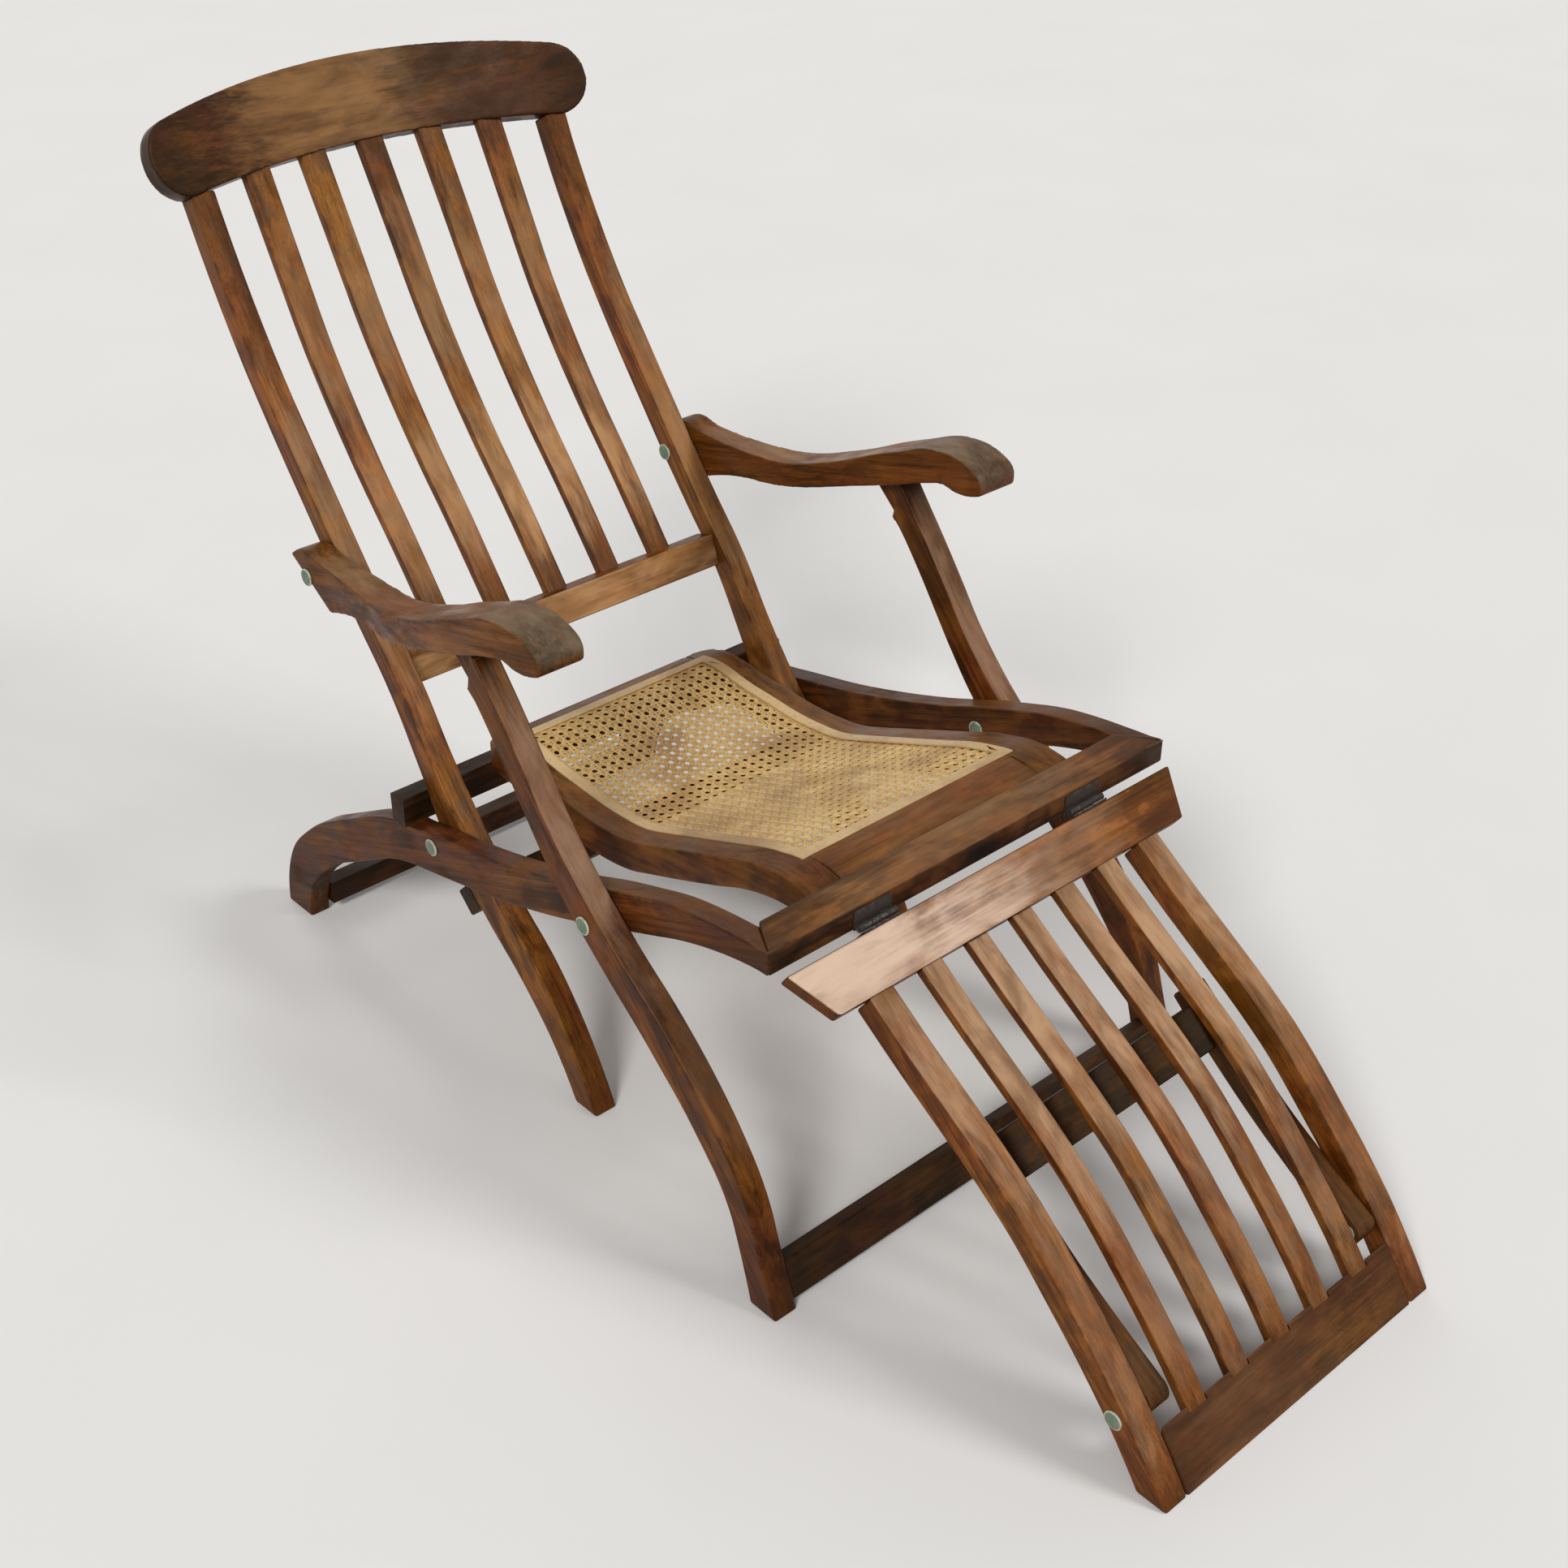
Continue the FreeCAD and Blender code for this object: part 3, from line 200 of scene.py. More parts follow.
def bare_copy(node: str, name: str, flatten: bool = False) -> Thing:
    """Copy a node's solid as one welded mesh without materials.

    Args:
        node: CAD node to copy.
        name: name of the new piece.
        flatten: whether facets that lie in one plane are joined.

    Returns:
        The new piece.
    """
    piece = link(name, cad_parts[node].data.copy())
    piece.data.materials.clear()
    only(piece)
    bpy.ops.mesh.customdata_custom_splitnormals_clear()
    with editing(piece):
        bpy.ops.mesh.remove_doubles(threshold=MERGE_WITHIN)
        if flatten:
            bpy.ops.mesh.dissolve_limited(angle_limit=math.radians(FLAT_WITHIN))
            bpy.ops.mesh.select_all(action="DESELECT")
    return piece


def dressed_copy(node: str, name: str, rounding: float, shortest: float = 0.003,
                 trim: tuple[Place, Place] | None = None) -> Thing:
    """Copy a node's solid and round its long edges, as worn timber has them.

    Args:
        node: CAD node to copy.
        name: name of the new piece.
        rounding: width of the rounding in metres.
        shortest: edges shorter than this stay crisp, such as a bolt hole's.
        trim: plane that the piece ends at and the way that is cut away, if any.

    Returns:
        The new piece, with an attribute "arris" that is 1 along its rounded edges.
    """
    piece = bare_copy(node, name, flatten=True)
    if trim:
        with editing(piece):
            bpy.ops.mesh.bisect(plane_co=trim[0], plane_no=trim[1], use_fill=True,
                                clear_outer=True)
    mark_long_edges(piece.data, rounding, shortest)
    bevel = piece.modifiers.new("rounding", "BEVEL")
    bevel.limit_method = "WEIGHT"
    bevel.width = rounding
    bevel.segments = 3
    bevel.use_clamp_overlap = False
    bevel.material = 1
    piece.data.materials.append(None)
    piece.data.materials.append(None)
    apply_all(piece)
    mark_arris(piece.data)
    smooth_shade(piece)
    return piece


def softened_copy(node: str, name: str, rounds: int) -> Thing:
    """Copy a node's solid and wear all its edges round, as hands do.

    Args:
        node: CAD node to copy.
        name: name of the new piece.
        rounds: how often the surface is smoothed.

    Returns:
        The new piece, with an attribute "arris" that is 1 where most was worn off.
    """
    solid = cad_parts[node]
    piece = bare_copy(node, name)
    remesh = piece.modifiers.new("even_mesh", "REMESH")
    remesh.mode = "VOXEL"
    remesh.voxel_size = WEAR_GRID
    smooth = piece.modifiers.new("wear", "SMOOTH")
    smooth.factor = WEAR_FACTOR
    smooth.iterations = rounds
    apply_all(piece)
    worn = [min(1.0, (v.co - solid.closest_point_on_mesh(v.co)[1]).length / (WORN_BY * WEAR_GRID))
            for v in piece.data.vertices]
    store(piece.data, "arris", worn)
    bpy.ops.object.shade_smooth()
    return piece


def mark_long_edges(mesh: Mesh, rounding: float, shortest: float) -> None:
    """Give convex edges a bevel weight that leaves room for their neighbours.

    Args:
        mesh: the mesh to mark.
        rounding: full width of the rounding in metres.
        shortest: edges shorter than this stay crisp.
    """
    work = bmesh.new()
    work.from_mesh(mesh)
    weight = work.edges.layers.float.get("bevel_weight_edge")
    if weight is None:
        weight = work.edges.layers.float.new("bevel_weight_edge")
    for edge in work.edges:
        angle = edge.calc_face_angle_signed(0.0) if len(edge.link_faces) == 2 else 0.0
        if angle > math.radians(ARRIS_FROM) and edge.calc_length() > shortest:
            share = min(1.0, ROOM_SHARE * room_beside(edge) / rounding)
            edge[weight] = share if share > LEAST_SHARE else 0.0
    work.to_mesh(mesh)
    work.free()


def room_beside(edge: bmesh.types.BMEdge) -> float:
    """How far an edge's rounding can spread before it meets something else.

    Args:
        edge: the edge to be rounded.

    Returns:
        The distance in metres.
    """
    room = 1.0
    middle = middle_of(edge)
    for vertex in edge.verts:
        way = (edge.other_vert(vertex).co - vertex.co).normalized()
        for other in vertex.link_edges:
            away = other.other_vert(vertex).co - vertex.co
            if other is not edge and way.dot(away.normalized()) > STRAIGHT_ON:
                room = min(room, away.length)
    for face in edge.link_faces:
        for other in face.edges:
            if not set(other.verts) & set(edge.verts):
                room = min(room, gap_between(middle, other))
                room = min(room, gap_between(middle_of(other), edge))
    return room


def middle_of(edge: bmesh.types.BMEdge) -> Vector:
    """Middle of an edge."""
    return (edge.verts[0].co + edge.verts[1].co) / 2


def gap_between(place: Vector, edge: bmesh.types.BMEdge) -> float:
    """Distance from a place to the nearest point of an edge.

    Args:
        place: the place.
        edge: the edge.

    Returns:
        The distance in metres.
    """
    start, end = edge.verts[0].co, edge.verts[1].co
    way = end - start
    share = max(0.0, min(1.0, (place - start).dot(way) / max(way.length_squared, 1e-12)))
    return (start + way * share - place).length


def mark_arris(mesh: Mesh) -> None:
    """Turn the rounding's second material into a soft edge attribute.

    Args:
        mesh: a mesh whose rounded faces have material 1.
    """
    total = np.zeros(len(mesh.vertices))
    count = np.zeros(len(mesh.vertices))
    for face in mesh.polygons:
        rounded = 1.0 if face.material_index == 1 else 0.0
        for vertex in face.vertices:
            total[vertex] += rounded
            count[vertex] += 1.0
        face.material_index = 0
    store(mesh, "arris", (total / np.maximum(count, 1.0)).astype(np.float32))
    mesh.materials.clear()


def dress(piece: Thing, material: Material, body: str, slot: Slot, *nodes: str) -> None:
    """Give a piece its material and its place in the chair.

    Args:
        piece: the finished piece.
        material: what it is made of.
        body: the moving part that carries it.
        slot: the record's slot for its finish; not used.
        nodes: CAD nodes that it stands for.
    """
    piece.data.materials.clear()
    piece.data.materials.append(material)
    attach(piece, body)
    if nodes:
        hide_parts(*nodes)
    log.info("%s rides on %s, %d faces", piece.name, body, len(piece.data.polygons))


# Materials: colours in linear light.

NOISE_ROUGHNESS = 0.55
NODE_STEP = 180


class Tree:
    """A node tree with short calls for adding and joining nodes."""

    def __init__(self, tree: NodeTree) -> None:
        """Start from an existing tree."""
        self.tree = tree
        self.across = 0

    def fill(self, node: Node, values: dict[str | int, object]) -> None:
        """Link or set inputs of a node.

        Args:
            node: the node.
            values: an output or a value for each input, by its name or number.
        """
        for key, value in values.items():
            socket = node.inputs[key]
            if isinstance(value, Socket):
                self.tree.links.new(value, socket)
            elif socket.type == "RGBA":
                socket.default_value = (*value, 1.0)
            else:
                socket.default_value = value

    def add(self, kind: str, values: dict[str | int, object] | None = None,
            **settings: object) -> Node:
        """Add a node.

        Args:
            kind: Blender's node type.
            values: its inputs, as for fill.
            settings: attributes of the node.

        Returns:
            The new node.
        """
        node = self.tree.nodes.new(kind)
        self.across += NODE_STEP
        node.location = (self.across, 0)
        for key, value in settings.items():
            setattr(node, key, value)
        self.fill(node, values or {})
        return node

    def math(self, operation: str, *terms: object, clamp: bool = False) -> Socket:
        """Add a Math node for sockets or numbers, its result kept from 0 to 1 if clamped."""
        settings = {"operation": operation, "use_clamp": clamp}
        return self.add("ShaderNodeMath", dict(enumerate(terms)), **settings).outputs[0]

    def noise(self, vector: Socket, scale: Place, detail: float = 3.0,
              distortion: float = 0.0) -> Socket:
        """Noise over a stretched vector.

        Args:
            vector: where to read it.
            scale: waves a metre along each axis.
            detail: octaves.
            distortion: how much it curls.

        Returns:
            The noise, from about 0.25 to 0.75.
        """
        place = self.add("ShaderNodeVectorMath", {0: vector, 1: scale}, operation="MULTIPLY")
        node = self.add("ShaderNodeTexNoise", {
            "Vector": place.outputs[0], "Scale": 1.0, "Detail": detail,
            "Roughness": NOISE_ROUGHNESS, "Distortion": distortion})
        return node.outputs["Fac"]

    def ramp(self, value: Socket, low: float, high: float, to_low: float = 0.0,
             to_high: float = 1.0) -> Socket:
        """Smooth step from one range to another.

        Args:
            value: the number to map.
            low: where the step starts.
            high: where it ends.
            to_low: result before the step.
            to_high: result after it.

        Returns:
            The mapped number.
        """
        node = self.add("ShaderNodeMapRange", {
            0: value, "From Min": low, "From Max": high, "To Min": to_low, "To Max": to_high},
            interpolation_type="SMOOTHSTEP")
        return node.outputs[0]

    def mix(self, share: object, first: object, second: object, blend: str = "MIX") -> Socket:
        """Mix two colours.

        Args:
            share: socket or number, how much of the second.
            first: socket or colour.
            second: socket or colour.
            blend: Blender's blend type.

        Returns:
            The mixed colour.
        """
        node = self.add("ShaderNodeMix", {0: share, 6: first, 7: second}, data_type="RGBA",
                        blend_type=blend)
        return node.outputs[2]

    def stored(self, name: str) -> Socket:
        """Read a number that the mesh stores for each vertex."""
        return self.add("ShaderNodeAttribute", attribute_name=name).outputs["Fac"]

    def along(self, vector: Socket) -> Socket:
        """Read how far along the grain, which is X, a place is."""
        return self.add("ShaderNodeSeparateXYZ", {0: vector}).outputs[0]

    def relief(self, height: Socket, strength: float, depth: float) -> Socket:
        """Turn a height into a normal, with the relief's depth in metres."""
        values = {"Height": height, "Strength": strength, "Distance": depth}
        return self.add("ShaderNodeBump", values).outputs[0]


def new_material(name: str) -> tuple[Material, Tree, Node]:
    """Start a node material.

    Args:
        name: the material's name.

    Returns:
        The material, its tree and its main shader.
    """
    material = bpy.data.materials.new(name)
    material.use_nodes = True
    tree = Tree(material.node_tree)
    return material, tree, material.node_tree.nodes["Principled BSDF"]


@dataclass(frozen=True)
class Patch:
    """A stretch of a piece whose colour is changed by use and, where pale, by a painted highlight.

    Attributes:
        place: middle of the stretch along the grain, in metres from the piece's middle.
        reach: half its length, in metres.
        strength: how strongly it shows, from 0 to 1.
        side: which way the changed face looks.
        colour: what it has turned to, or None for the timber's own pale colour of wear and painted
            highlight.
    """

    place: float = 0.0
    reach: float = 0.4
    strength: float = 0.0
    side: Side = Side.SITTER
    colour: Colour | None = None


@dataclass(frozen=True)
class Timber:
    """Colours and gloss of one sort of old waxed timber, in linear light.

    Attributes:
        dark: colour in the darkest figure.
        body: main colour.
        light: colour of the paler figure.
        pale: colour where the finish is worn off, also a painted highlight on the faces that a
            patch turns to.
        gloss: roughness of the wax.
        pores: how strongly the open grain shows.
        ends: how much darker the piece turns towards its ends.
    """

    dark: Colour
    body: Colour
    light: Colour
    pale: Colour
    gloss: float = 0.36
    pores: float = 0.45
    ends: float = 0.6


CREST_TIMBER = Timber((0.015, 0.006, 0.002), (0.050, 0.020, 0.006), (0.092, 0.036, 0.010),
                      (0.237, 0.115, 0.043), 0.38, 0.5, 0.7)
BACK_TIMBER = Timber((0.044, 0.014, 0.003), (0.164, 0.058, 0.011), (0.260, 0.105, 0.022),
                     (0.446, 0.244, 0.108), 0.38, 0.5, 0.55)
RAIL_TIMBER = Timber((0.020, 0.006, 0.002), (0.084, 0.027, 0.006), (0.141, 0.050, 0.011),
                     (0.218, 0.106, 0.043), 0.36, 0.4, 0.5)
LEG_TIMBER = Timber((0.027, 0.008, 0.002), (0.111, 0.036, 0.006), (0.176, 0.064, 0.012),
                    (0.257, 0.143, 0.086), 0.36, 0.4, 0.6)
ARM_TIMBER = Timber((0.029, 0.010, 0.002), (0.118, 0.038, 0.006), (0.189, 0.071, 0.014),
                    (0.314, 0.179, 0.086), 0.34, 0.4, 0.3)
SEAT_TIMBER = Timber((0.035, 0.011, 0.002), (0.130, 0.047, 0.010), (0.189, 0.074, 0.017),
                     (0.294, 0.152, 0.063), 0.34, 0.4, 0.3)
CROSSRAIL_TIMBER = Timber((0.030, 0.011, 0.003), (0.139, 0.053, 0.012), (0.202, 0.087, 0.024),
                          (0.314, 0.175, 0.077), 0.38, 0.5, 0.7)
FOOT_TIMBER = Timber((0.047, 0.014, 0.002), (0.160, 0.053, 0.008), (0.252, 0.097, 0.019),
                     (0.437, 0.258, 0.144), 0.38, 0.5, 0.6)
BOARD_TIMBER = Timber((0.027, 0.009, 0.002), (0.088, 0.033, 0.007), (0.134, 0.053, 0.012),
                      (0.228, 0.110, 0.045), 0.4, 0.6, 0.5)
# Painted shade: the bars and stretchers under the seat and the footrest legs' crossbar sit in
# shadow, so their timber is painted darker.
PAINTED_SHADE_TIMBER = Timber((0.010, 0.005, 0.002), (0.039, 0.016, 0.005), (0.069, 0.029, 0.009),
                      (0.123, 0.064, 0.027), 0.48, 0.5, 0.5)

# Colours that a stretch of timber turns to: umber and weathered grey are the timber's own, the
# palest makes pale streaks on the arm's nose and a painted sheen on the footrest board, and the
# last is near black.
BLEACH_AND_SHEEN = (0.640, 0.460, 0.340)
UMBER = (0.036, 0.015, 0.008)
WEATHERED = (0.200, 0.152, 0.095)
NEAR_BLACK = (0.008, 0.005, 0.004)

# The timber's patterns, in waves a metre along, across and through it.
FIGURE = (4.0, 30.0, 30.0)
STREAK = (5.0, 210.0, 210.0)
FIBRE = (24.0, 900.0, 900.0)
CLOUD = (6.0, 9.0, 9.0)
TINT = (5.0, 7.0, 7.0)
HANDLED_AND_HIGHLIT = (30.0, 40.0, 40.0)
GRIME = (14.0, 30.0, 30.0)
PORES = (60.0, 1500.0, 1500.0)
PATCH_EDGE = (16.0, 55.0, 55.0)
PATCH_LINES = (9.0, 420.0, 420.0)
PATCH_CLOUD = (11.0, 34.0, 34.0)

# Tints of the figure, sheen of the wax and depth of the open grain.
GOLDEN = (1.14, 1.10, 0.80)
RUDDY = (1.06, 0.78, 0.84)
WAX_LEVEL = 0.15
WAX_TINT = (1.0, 0.80, 0.58)
GRAIN_STRENGTH = 0.4
GRAIN_DEPTH = 0.0003


class TimberShop:
    """Makes a material for each timber piece from two shared patterns."""

    def __init__(self) -> None:
        """Build the shared patterns of grain and of patches of wear and painted highlight."""
        self.count = 0
        self.grain = bpy.data.node_groups.new("waxed_grain", "ShaderNodeTree")
        declare(self.grain, ("Grain Vector", "Dark Color", "Body Color", "Light Color",
                             "Half Float", "Ends Float", "Gloss Float", "Pores Float"),
                ("Colour Color", "Roughness Float", "Height Float"))
        self._lay_grain()
        self.patch = bpy.data.node_groups.new("worn_and_highlight_patch", "ShaderNodeTree")
        declare(self.patch, ("Grain Vector", "Normal Vector", "Facing Vector", "Colour Color",
                             "Roughness Float", "Turned Color", "Place Float", "Reach Float",
                             "Strength Float"), ("Colour Color", "Roughness Float"))
        self._lay_patch()

    def _lay_grain(self) -> None:
        """Lay the nodes of the grain: figure, streaks, pores, tint, edges worn pale with a painted
        highlight, darker edges and ends, and grime.
        """
        t = Tree(self.grain)
        inside, outside = t.add("NodeGroupInput").outputs, t.add("NodeGroupOutput")
        at = inside["Grain"]
        figure, streak = t.noise(at, FIGURE, 2.0, 1.1), t.noise(at, STREAK, 3.0, 0.5)
        fibre, cloud = t.noise(at, FIBRE, 2.0), t.noise(at, CLOUD, 3.0, 0.4)
        tone = t.math("MULTIPLY_ADD", figure, 0.45, t.math("MULTIPLY", streak, 0.38))
        tone = t.math("MULTIPLY_ADD", fibre, 0.17, tone)
        colour = t.mix(t.ramp(tone, 0.38, 0.53), inside["Dark"], inside["Body"])
        light = t.math("MULTIPLY", t.ramp(tone, 0.50, 0.60), t.ramp(cloud, 0.36, 0.56, 0.25, 1.0))
        colour = t.mix(light, colour, inside["Light"])
        golden = t.mix(1.0, colour, GOLDEN, "MULTIPLY")
        ruddy = t.mix(1.0, colour, RUDDY, "MULTIPLY")
        colour = t.mix(t.ramp(t.noise(at, TINT, 2.0), 0.40, 0.60), golden, ruddy)
        # Rounded edges turn pale where the noise is high, which is wear with a painted highlight,
        # and darker where it is low.
        arris, handled_and_highlit = t.stored("arris"), t.noise(at, HANDLED_AND_HIGHLIT, 3.0)
        worn_and_highlit = t.math("MULTIPLY", arris, t.ramp(handled_and_highlit, 0.48, 0.64, 0.0, 0.55))
        colour = t.mix(worn_and_highlit, colour, inside["Light"])
        darker_edges = t.math("MULTIPLY", arris, t.ramp(handled_and_highlit, 0.40, 0.54, 0.75, 0.0))
        colour = t.mix(darker_edges, colour, inside["Dark"])
        # Darker towards the piece's ends.
        share = t.math("DIVIDE", t.math("ABSOLUTE", t.along(at)), inside["Half"])
        share = t.math("MULTIPLY_ADD", handled_and_highlit, 0.5, t.math("SUBTRACT", share, 0.25))
        colour = t.mix(t.math("MULTIPLY", t.ramp(share, 0.70, 1.05), inside["Ends"]), colour,
                       inside["Dark"])
        grime = t.ramp(t.noise(at, GRIME, 4.0, 0.6), 0.52, 0.68, 0.0, 0.55)
        colour = t.mix(grime, colour, inside["Dark"])
        pits = t.ramp(t.noise(at, PORES, 1.0), 0.34, 0.46, 1.0, 0.0)
        pits = t.math("MULTIPLY", pits, inside["Pores"])
        rough = t.math("ADD", inside["Gloss"], t.ramp(handled_and_highlit, 0.35, 0.65, -0.05, 0.12))
        height = t.math("MULTIPLY_ADD", streak, 0.5, t.math("MULTIPLY", fibre, 0.35))
        t.fill(outside, {"Colour": t.mix(pits, colour, inside["Dark"]),
                         "Roughness": t.math("MULTIPLY_ADD", grime, 0.15, rough),
                         "Height": t.math("MULTIPLY_ADD", pits, -0.6, height)})

    def _lay_patch(self) -> None:
        """Lay the nodes of a patch that fades out along the grain."""
        t = Tree(self.patch)
        inside, outside = t.add("NodeGroupInput").outputs, t.add("NodeGroupOutput")
        # Only faces turned towards Facing change, so a pale patch is partly a painted highlight.
        dot = t.add("ShaderNodeVectorMath", {0: inside["Normal"], 1: inside["Facing"]},
                    operation="DOT_PRODUCT")
        facing = t.ramp(dot.outputs["Value"], 0.30, 0.85)
        away = t.math("SUBTRACT", t.along(inside["Grain"]), inside["Place"])
        away = t.math("DIVIDE", t.math("ABSOLUTE", away), inside["Reach"])
        near = t.math("SUBTRACT", 1.0, away, clamp=True)
        own = {0: inside["Grain"], 1: t.math("MULTIPLY", inside["Place"], 50.0)}
        at = t.add("ShaderNodeVectorMath", own, operation="ADD").outputs[0]
        broken = t.ramp(t.noise(at, PATCH_EDGE, 4.0, 0.3), 0.3, 0.7, -0.28, 0.28)
        lined = t.ramp(t.noise(at, PATCH_LINES, 3.0), 0.35, 0.65, -0.1, 0.1)
        share = t.math("ADD", near, t.math("ADD", broken, lined))
        share = t.math("MULTIPLY", t.ramp(share, -0.1, 1.1), t.ramp(near, 0.0, 0.35))
        clouded = t.ramp(t.noise(at, PATCH_CLOUD, 4.0, 0.8), 0.36, 0.60, 0.5, 1.0)
        share = t.math("MULTIPLY", share, clouded)
        share = t.math("MULTIPLY", t.math("MULTIPLY", share, facing), inside["Strength"])
        t.fill(outside, {"Colour": t.mix(share, inside["Colour"], inside["Turned"]),
                         "Roughness": t.math("MULTIPLY_ADD", share, 0.1, inside["Roughness"])})

    def material(self, name: str, timber: Timber, mesh: Mesh,
                 patches: tuple[Patch, ...]) -> Material:
        """Make the material of one piece, its grain laid along the piece.

        Args:
            name: the piece's name.
            timber: its colours.
            mesh: its mesh, which gives the way of the grain.
            patches: where use has changed it.

        Returns:
            The material.
        """
        self.count += 1
        material, t, shader = new_material(name + "_timber")
        turn, middle, half = grain_frame(mesh)
        where = t.add("ShaderNodeTexCoord").outputs
        laid = t.add("ShaderNodeMapping", {
            "Vector": where["Object"], "Rotation": turn.to_euler("XYZ"),
            "Location": -(turn @ middle)}).outputs[0]
        seed = (0.0, self.count * 3.73 % 11.0, self.count * 2.11 % 7.0)
        own = t.add("ShaderNodeVectorMath", {0: laid, 1: seed}, operation="ADD").outputs[0]
        grain = t.add("ShaderNodeGroup", {
            "Grain": own, "Half": half, "Ends": timber.ends, "Gloss": timber.gloss,
            "Pores": timber.pores, "Dark": timber.dark, "Body": timber.body,
            "Light": timber.light}, node_tree=self.grain).outputs
        finish = grain
        for patch in patches:
            finish = t.add("ShaderNodeGroup", {
                "Grain": own, "Normal": where["Normal"], "Colour": finish["Colour"],
                "Roughness": finish["Roughness"], "Facing": patch.side.value,
                "Place": patch.place, "Reach": patch.reach, "Strength": patch.strength,
                "Turned": patch.colour or timber.pale}, node_tree=self.patch).outputs
        t.fill(shader, {"Base Color": finish["Colour"], "Roughness": finish["Roughness"],
                        "Normal": t.relief(grain["Height"], GRAIN_STRENGTH, GRAIN_DEPTH),
                        "Specular IOR Level": WAX_LEVEL, "Specular Tint": WAX_TINT})
        return material


def declare(group: NodeTree, taken: tuple[str, ...], given: tuple[str, ...]) -> None:
    """Declare what goes into a node group and what comes out.

    Args:
        group: the node group.
        taken: names and kinds of its inputs.
        given: names and kinds of its outputs.
    """
    for way, sockets in (("INPUT", taken), ("OUTPUT", given)):
        for socket in sockets:
            name, kind = socket.split()
            group.interface.new_socket(name, in_out=way, socket_type="NodeSocket" + kind)


def grain_frame(mesh: Mesh) -> tuple[Matrix, Vector, float]:
    """Directions of a timber: its grain along its longest way, then its width and depth.

    Args:
        mesh: the piece's mesh.

    Returns:
        A rotation whose first row is the grain, the piece's middle and its half length.
    """
    places = places_of(mesh)
    middle = (places.min(0) + places.max(0)) / 2
    _, ways = np.linalg.eigh(np.cov((places - places.mean(0)).T))
    along = Vector(ways[:, 2])
    if abs(along.x) > 0.9:
        along = Vector((1.0, 0.0, 0.0))
    else:
        along.x = 0.0
        along.normalize()
        if along.z < 0:
            along.negate()
    side = Vector((1.0, 0.0, 0.0)) if abs(along.x) < 0.5 else Vector((0.0, 1.0, 0.0))
    third = along.cross(side).normalized()
    half = float(np.abs((places - middle) @ np.array(along)).max())
    return Matrix((along, side, third)), Vector(middle), half


@dataclass(frozen=True)
class Cane:
    """Colours of split cane, in linear light.

    Attributes:
        straw: main colour.
        pale: colour of the glossiest strands.
        tan: colour where it is soiled.
    """

    straw: Colour = (0.54, 0.335, 0.112)
    pale: Colour = (0.67, 0.450, 0.180)
    tan: Colour = (0.33, 0.175, 0.056)

    def material(self, name: str) -> Material:
        """Make the cane's material.

        Args:
            name: the material's name.

        Returns:
            The material.
        """
        material, t, shader = new_material(name)
        where = t.add("ShaderNodeTexCoord").outputs["Object"]
        colour = t.mix(t.ramp(t.stored("strand_tint"), 0.0, 1.0), self.straw, self.pale)
        soil = t.ramp(t.noise(where, (11.0, 11.0, 11.0), 4.0), 0.44, 0.66, 0.0, 0.8)
        colour = t.mix(soil, colour, self.tan)
        fibre = t.noise(where, (260.0, 260.0, 260.0), 3.0)
        colour = t.mix(t.ramp(fibre, 0.52, 0.7, 0.0, 0.35), colour, self.tan)
        t.fill(shader, {"Base Color": colour, "Roughness": t.ramp(fibre, 0.3, 0.7, 0.36, 0.55),
                        "Normal": t.relief(fibre, 0.3, 0.0003), "Specular IOR Level": 0.5})
        return material


@dataclass(frozen=True)
class OldMetal:
    """Bolts and hinges that have gone dull.

    Attributes:
        bare: colour of the metal where it is rubbed.
        crust: colour of its tarnish or rust.
        cover: how much tarnish covers it, from 0 to 1.
        metal: metallic share of the shader.
        rim: colour of a washer's pale rim, where the attribute "rim" is high.
    """

    bare: Colour
    crust: Colour
    cover: float
    metal: float
    rim: Colour = (0.0, 0.0, 0.0)

    def material(self, name: str) -> Material:
        """Make the metal's material.

        Args:
            name: the material's name.

        Returns:
            The material.
        """
        material, t, shader = new_material(name)
        where = t.add("ShaderNodeTexCoord").outputs["Object"]
        patch = t.noise(where, (170.0, 170.0, 170.0), 4.0)
        crust = t.ramp(patch, 0.62 - 0.3 * self.cover, 0.72 - 0.3 * self.cover)
        rim = t.ramp(t.stored("rim"), 0.55, 0.9)
        rim = t.math("MULTIPLY", rim, t.ramp(patch, 0.38, 0.5, 0.4, 1.0))
        colour = t.mix(rim, t.mix(crust, self.bare, self.crust), self.rim)
        t.fill(shader, {"Base Color": colour, "Roughness": t.ramp(crust, 0.0, 1.0, 0.32, 0.75),
                        "Normal": t.relief(patch, 0.5, 0.0004), "Metallic": self.metal})
        return material


BINDING_CANE = Cane((0.52, 0.34, 0.16), (0.62, 0.43, 0.21), (0.33, 0.19, 0.08))
VERDIGRIS = OldMetal((0.20, 0.19, 0.12), (0.13, 0.20, 0.14), 0.7, 0.3, (0.52, 0.56, 0.46))
IRON = OldMetal((0.050, 0.042, 0.036), (0.030, 0.019, 0.014), 0.7, 0.3)


# The chair's sub-assemblies.


@dataclass
class Member:
    """One timber of a sub-assembly.

    Attributes:
        node: CAD node that it stands for.
        patches: where use and painted highlight change its colour.
        rounding: width of its rounded edges in metres.
        timber: its timber, or None for the sub-assembly's own.
        slot: the record's slot, or None for the sub-assembly's own.
        rounds: smoothing rounds of a piece that is worn round all over, or 0.
        trim: plane that it ends at and the way that is cut away, if any.
    """

    node: str
    patches: tuple[Patch, ...] = ()
    rounding: float = 0.0022
    timber: Timber | None = None
    slot: Slot | None = None
    rounds: int = 0
    trim: tuple[Place, Place] | None = None

    def model(self) -> Thing:
        """Model the timber.

        Returns:
            The piece, without its material.
        """
        name = "worn_" + self.node
        if self.rounds:
            return softened_copy(self.node, name, self.rounds)
        return dressed_copy(self.node, name, self.rounding, trim=self.trim)


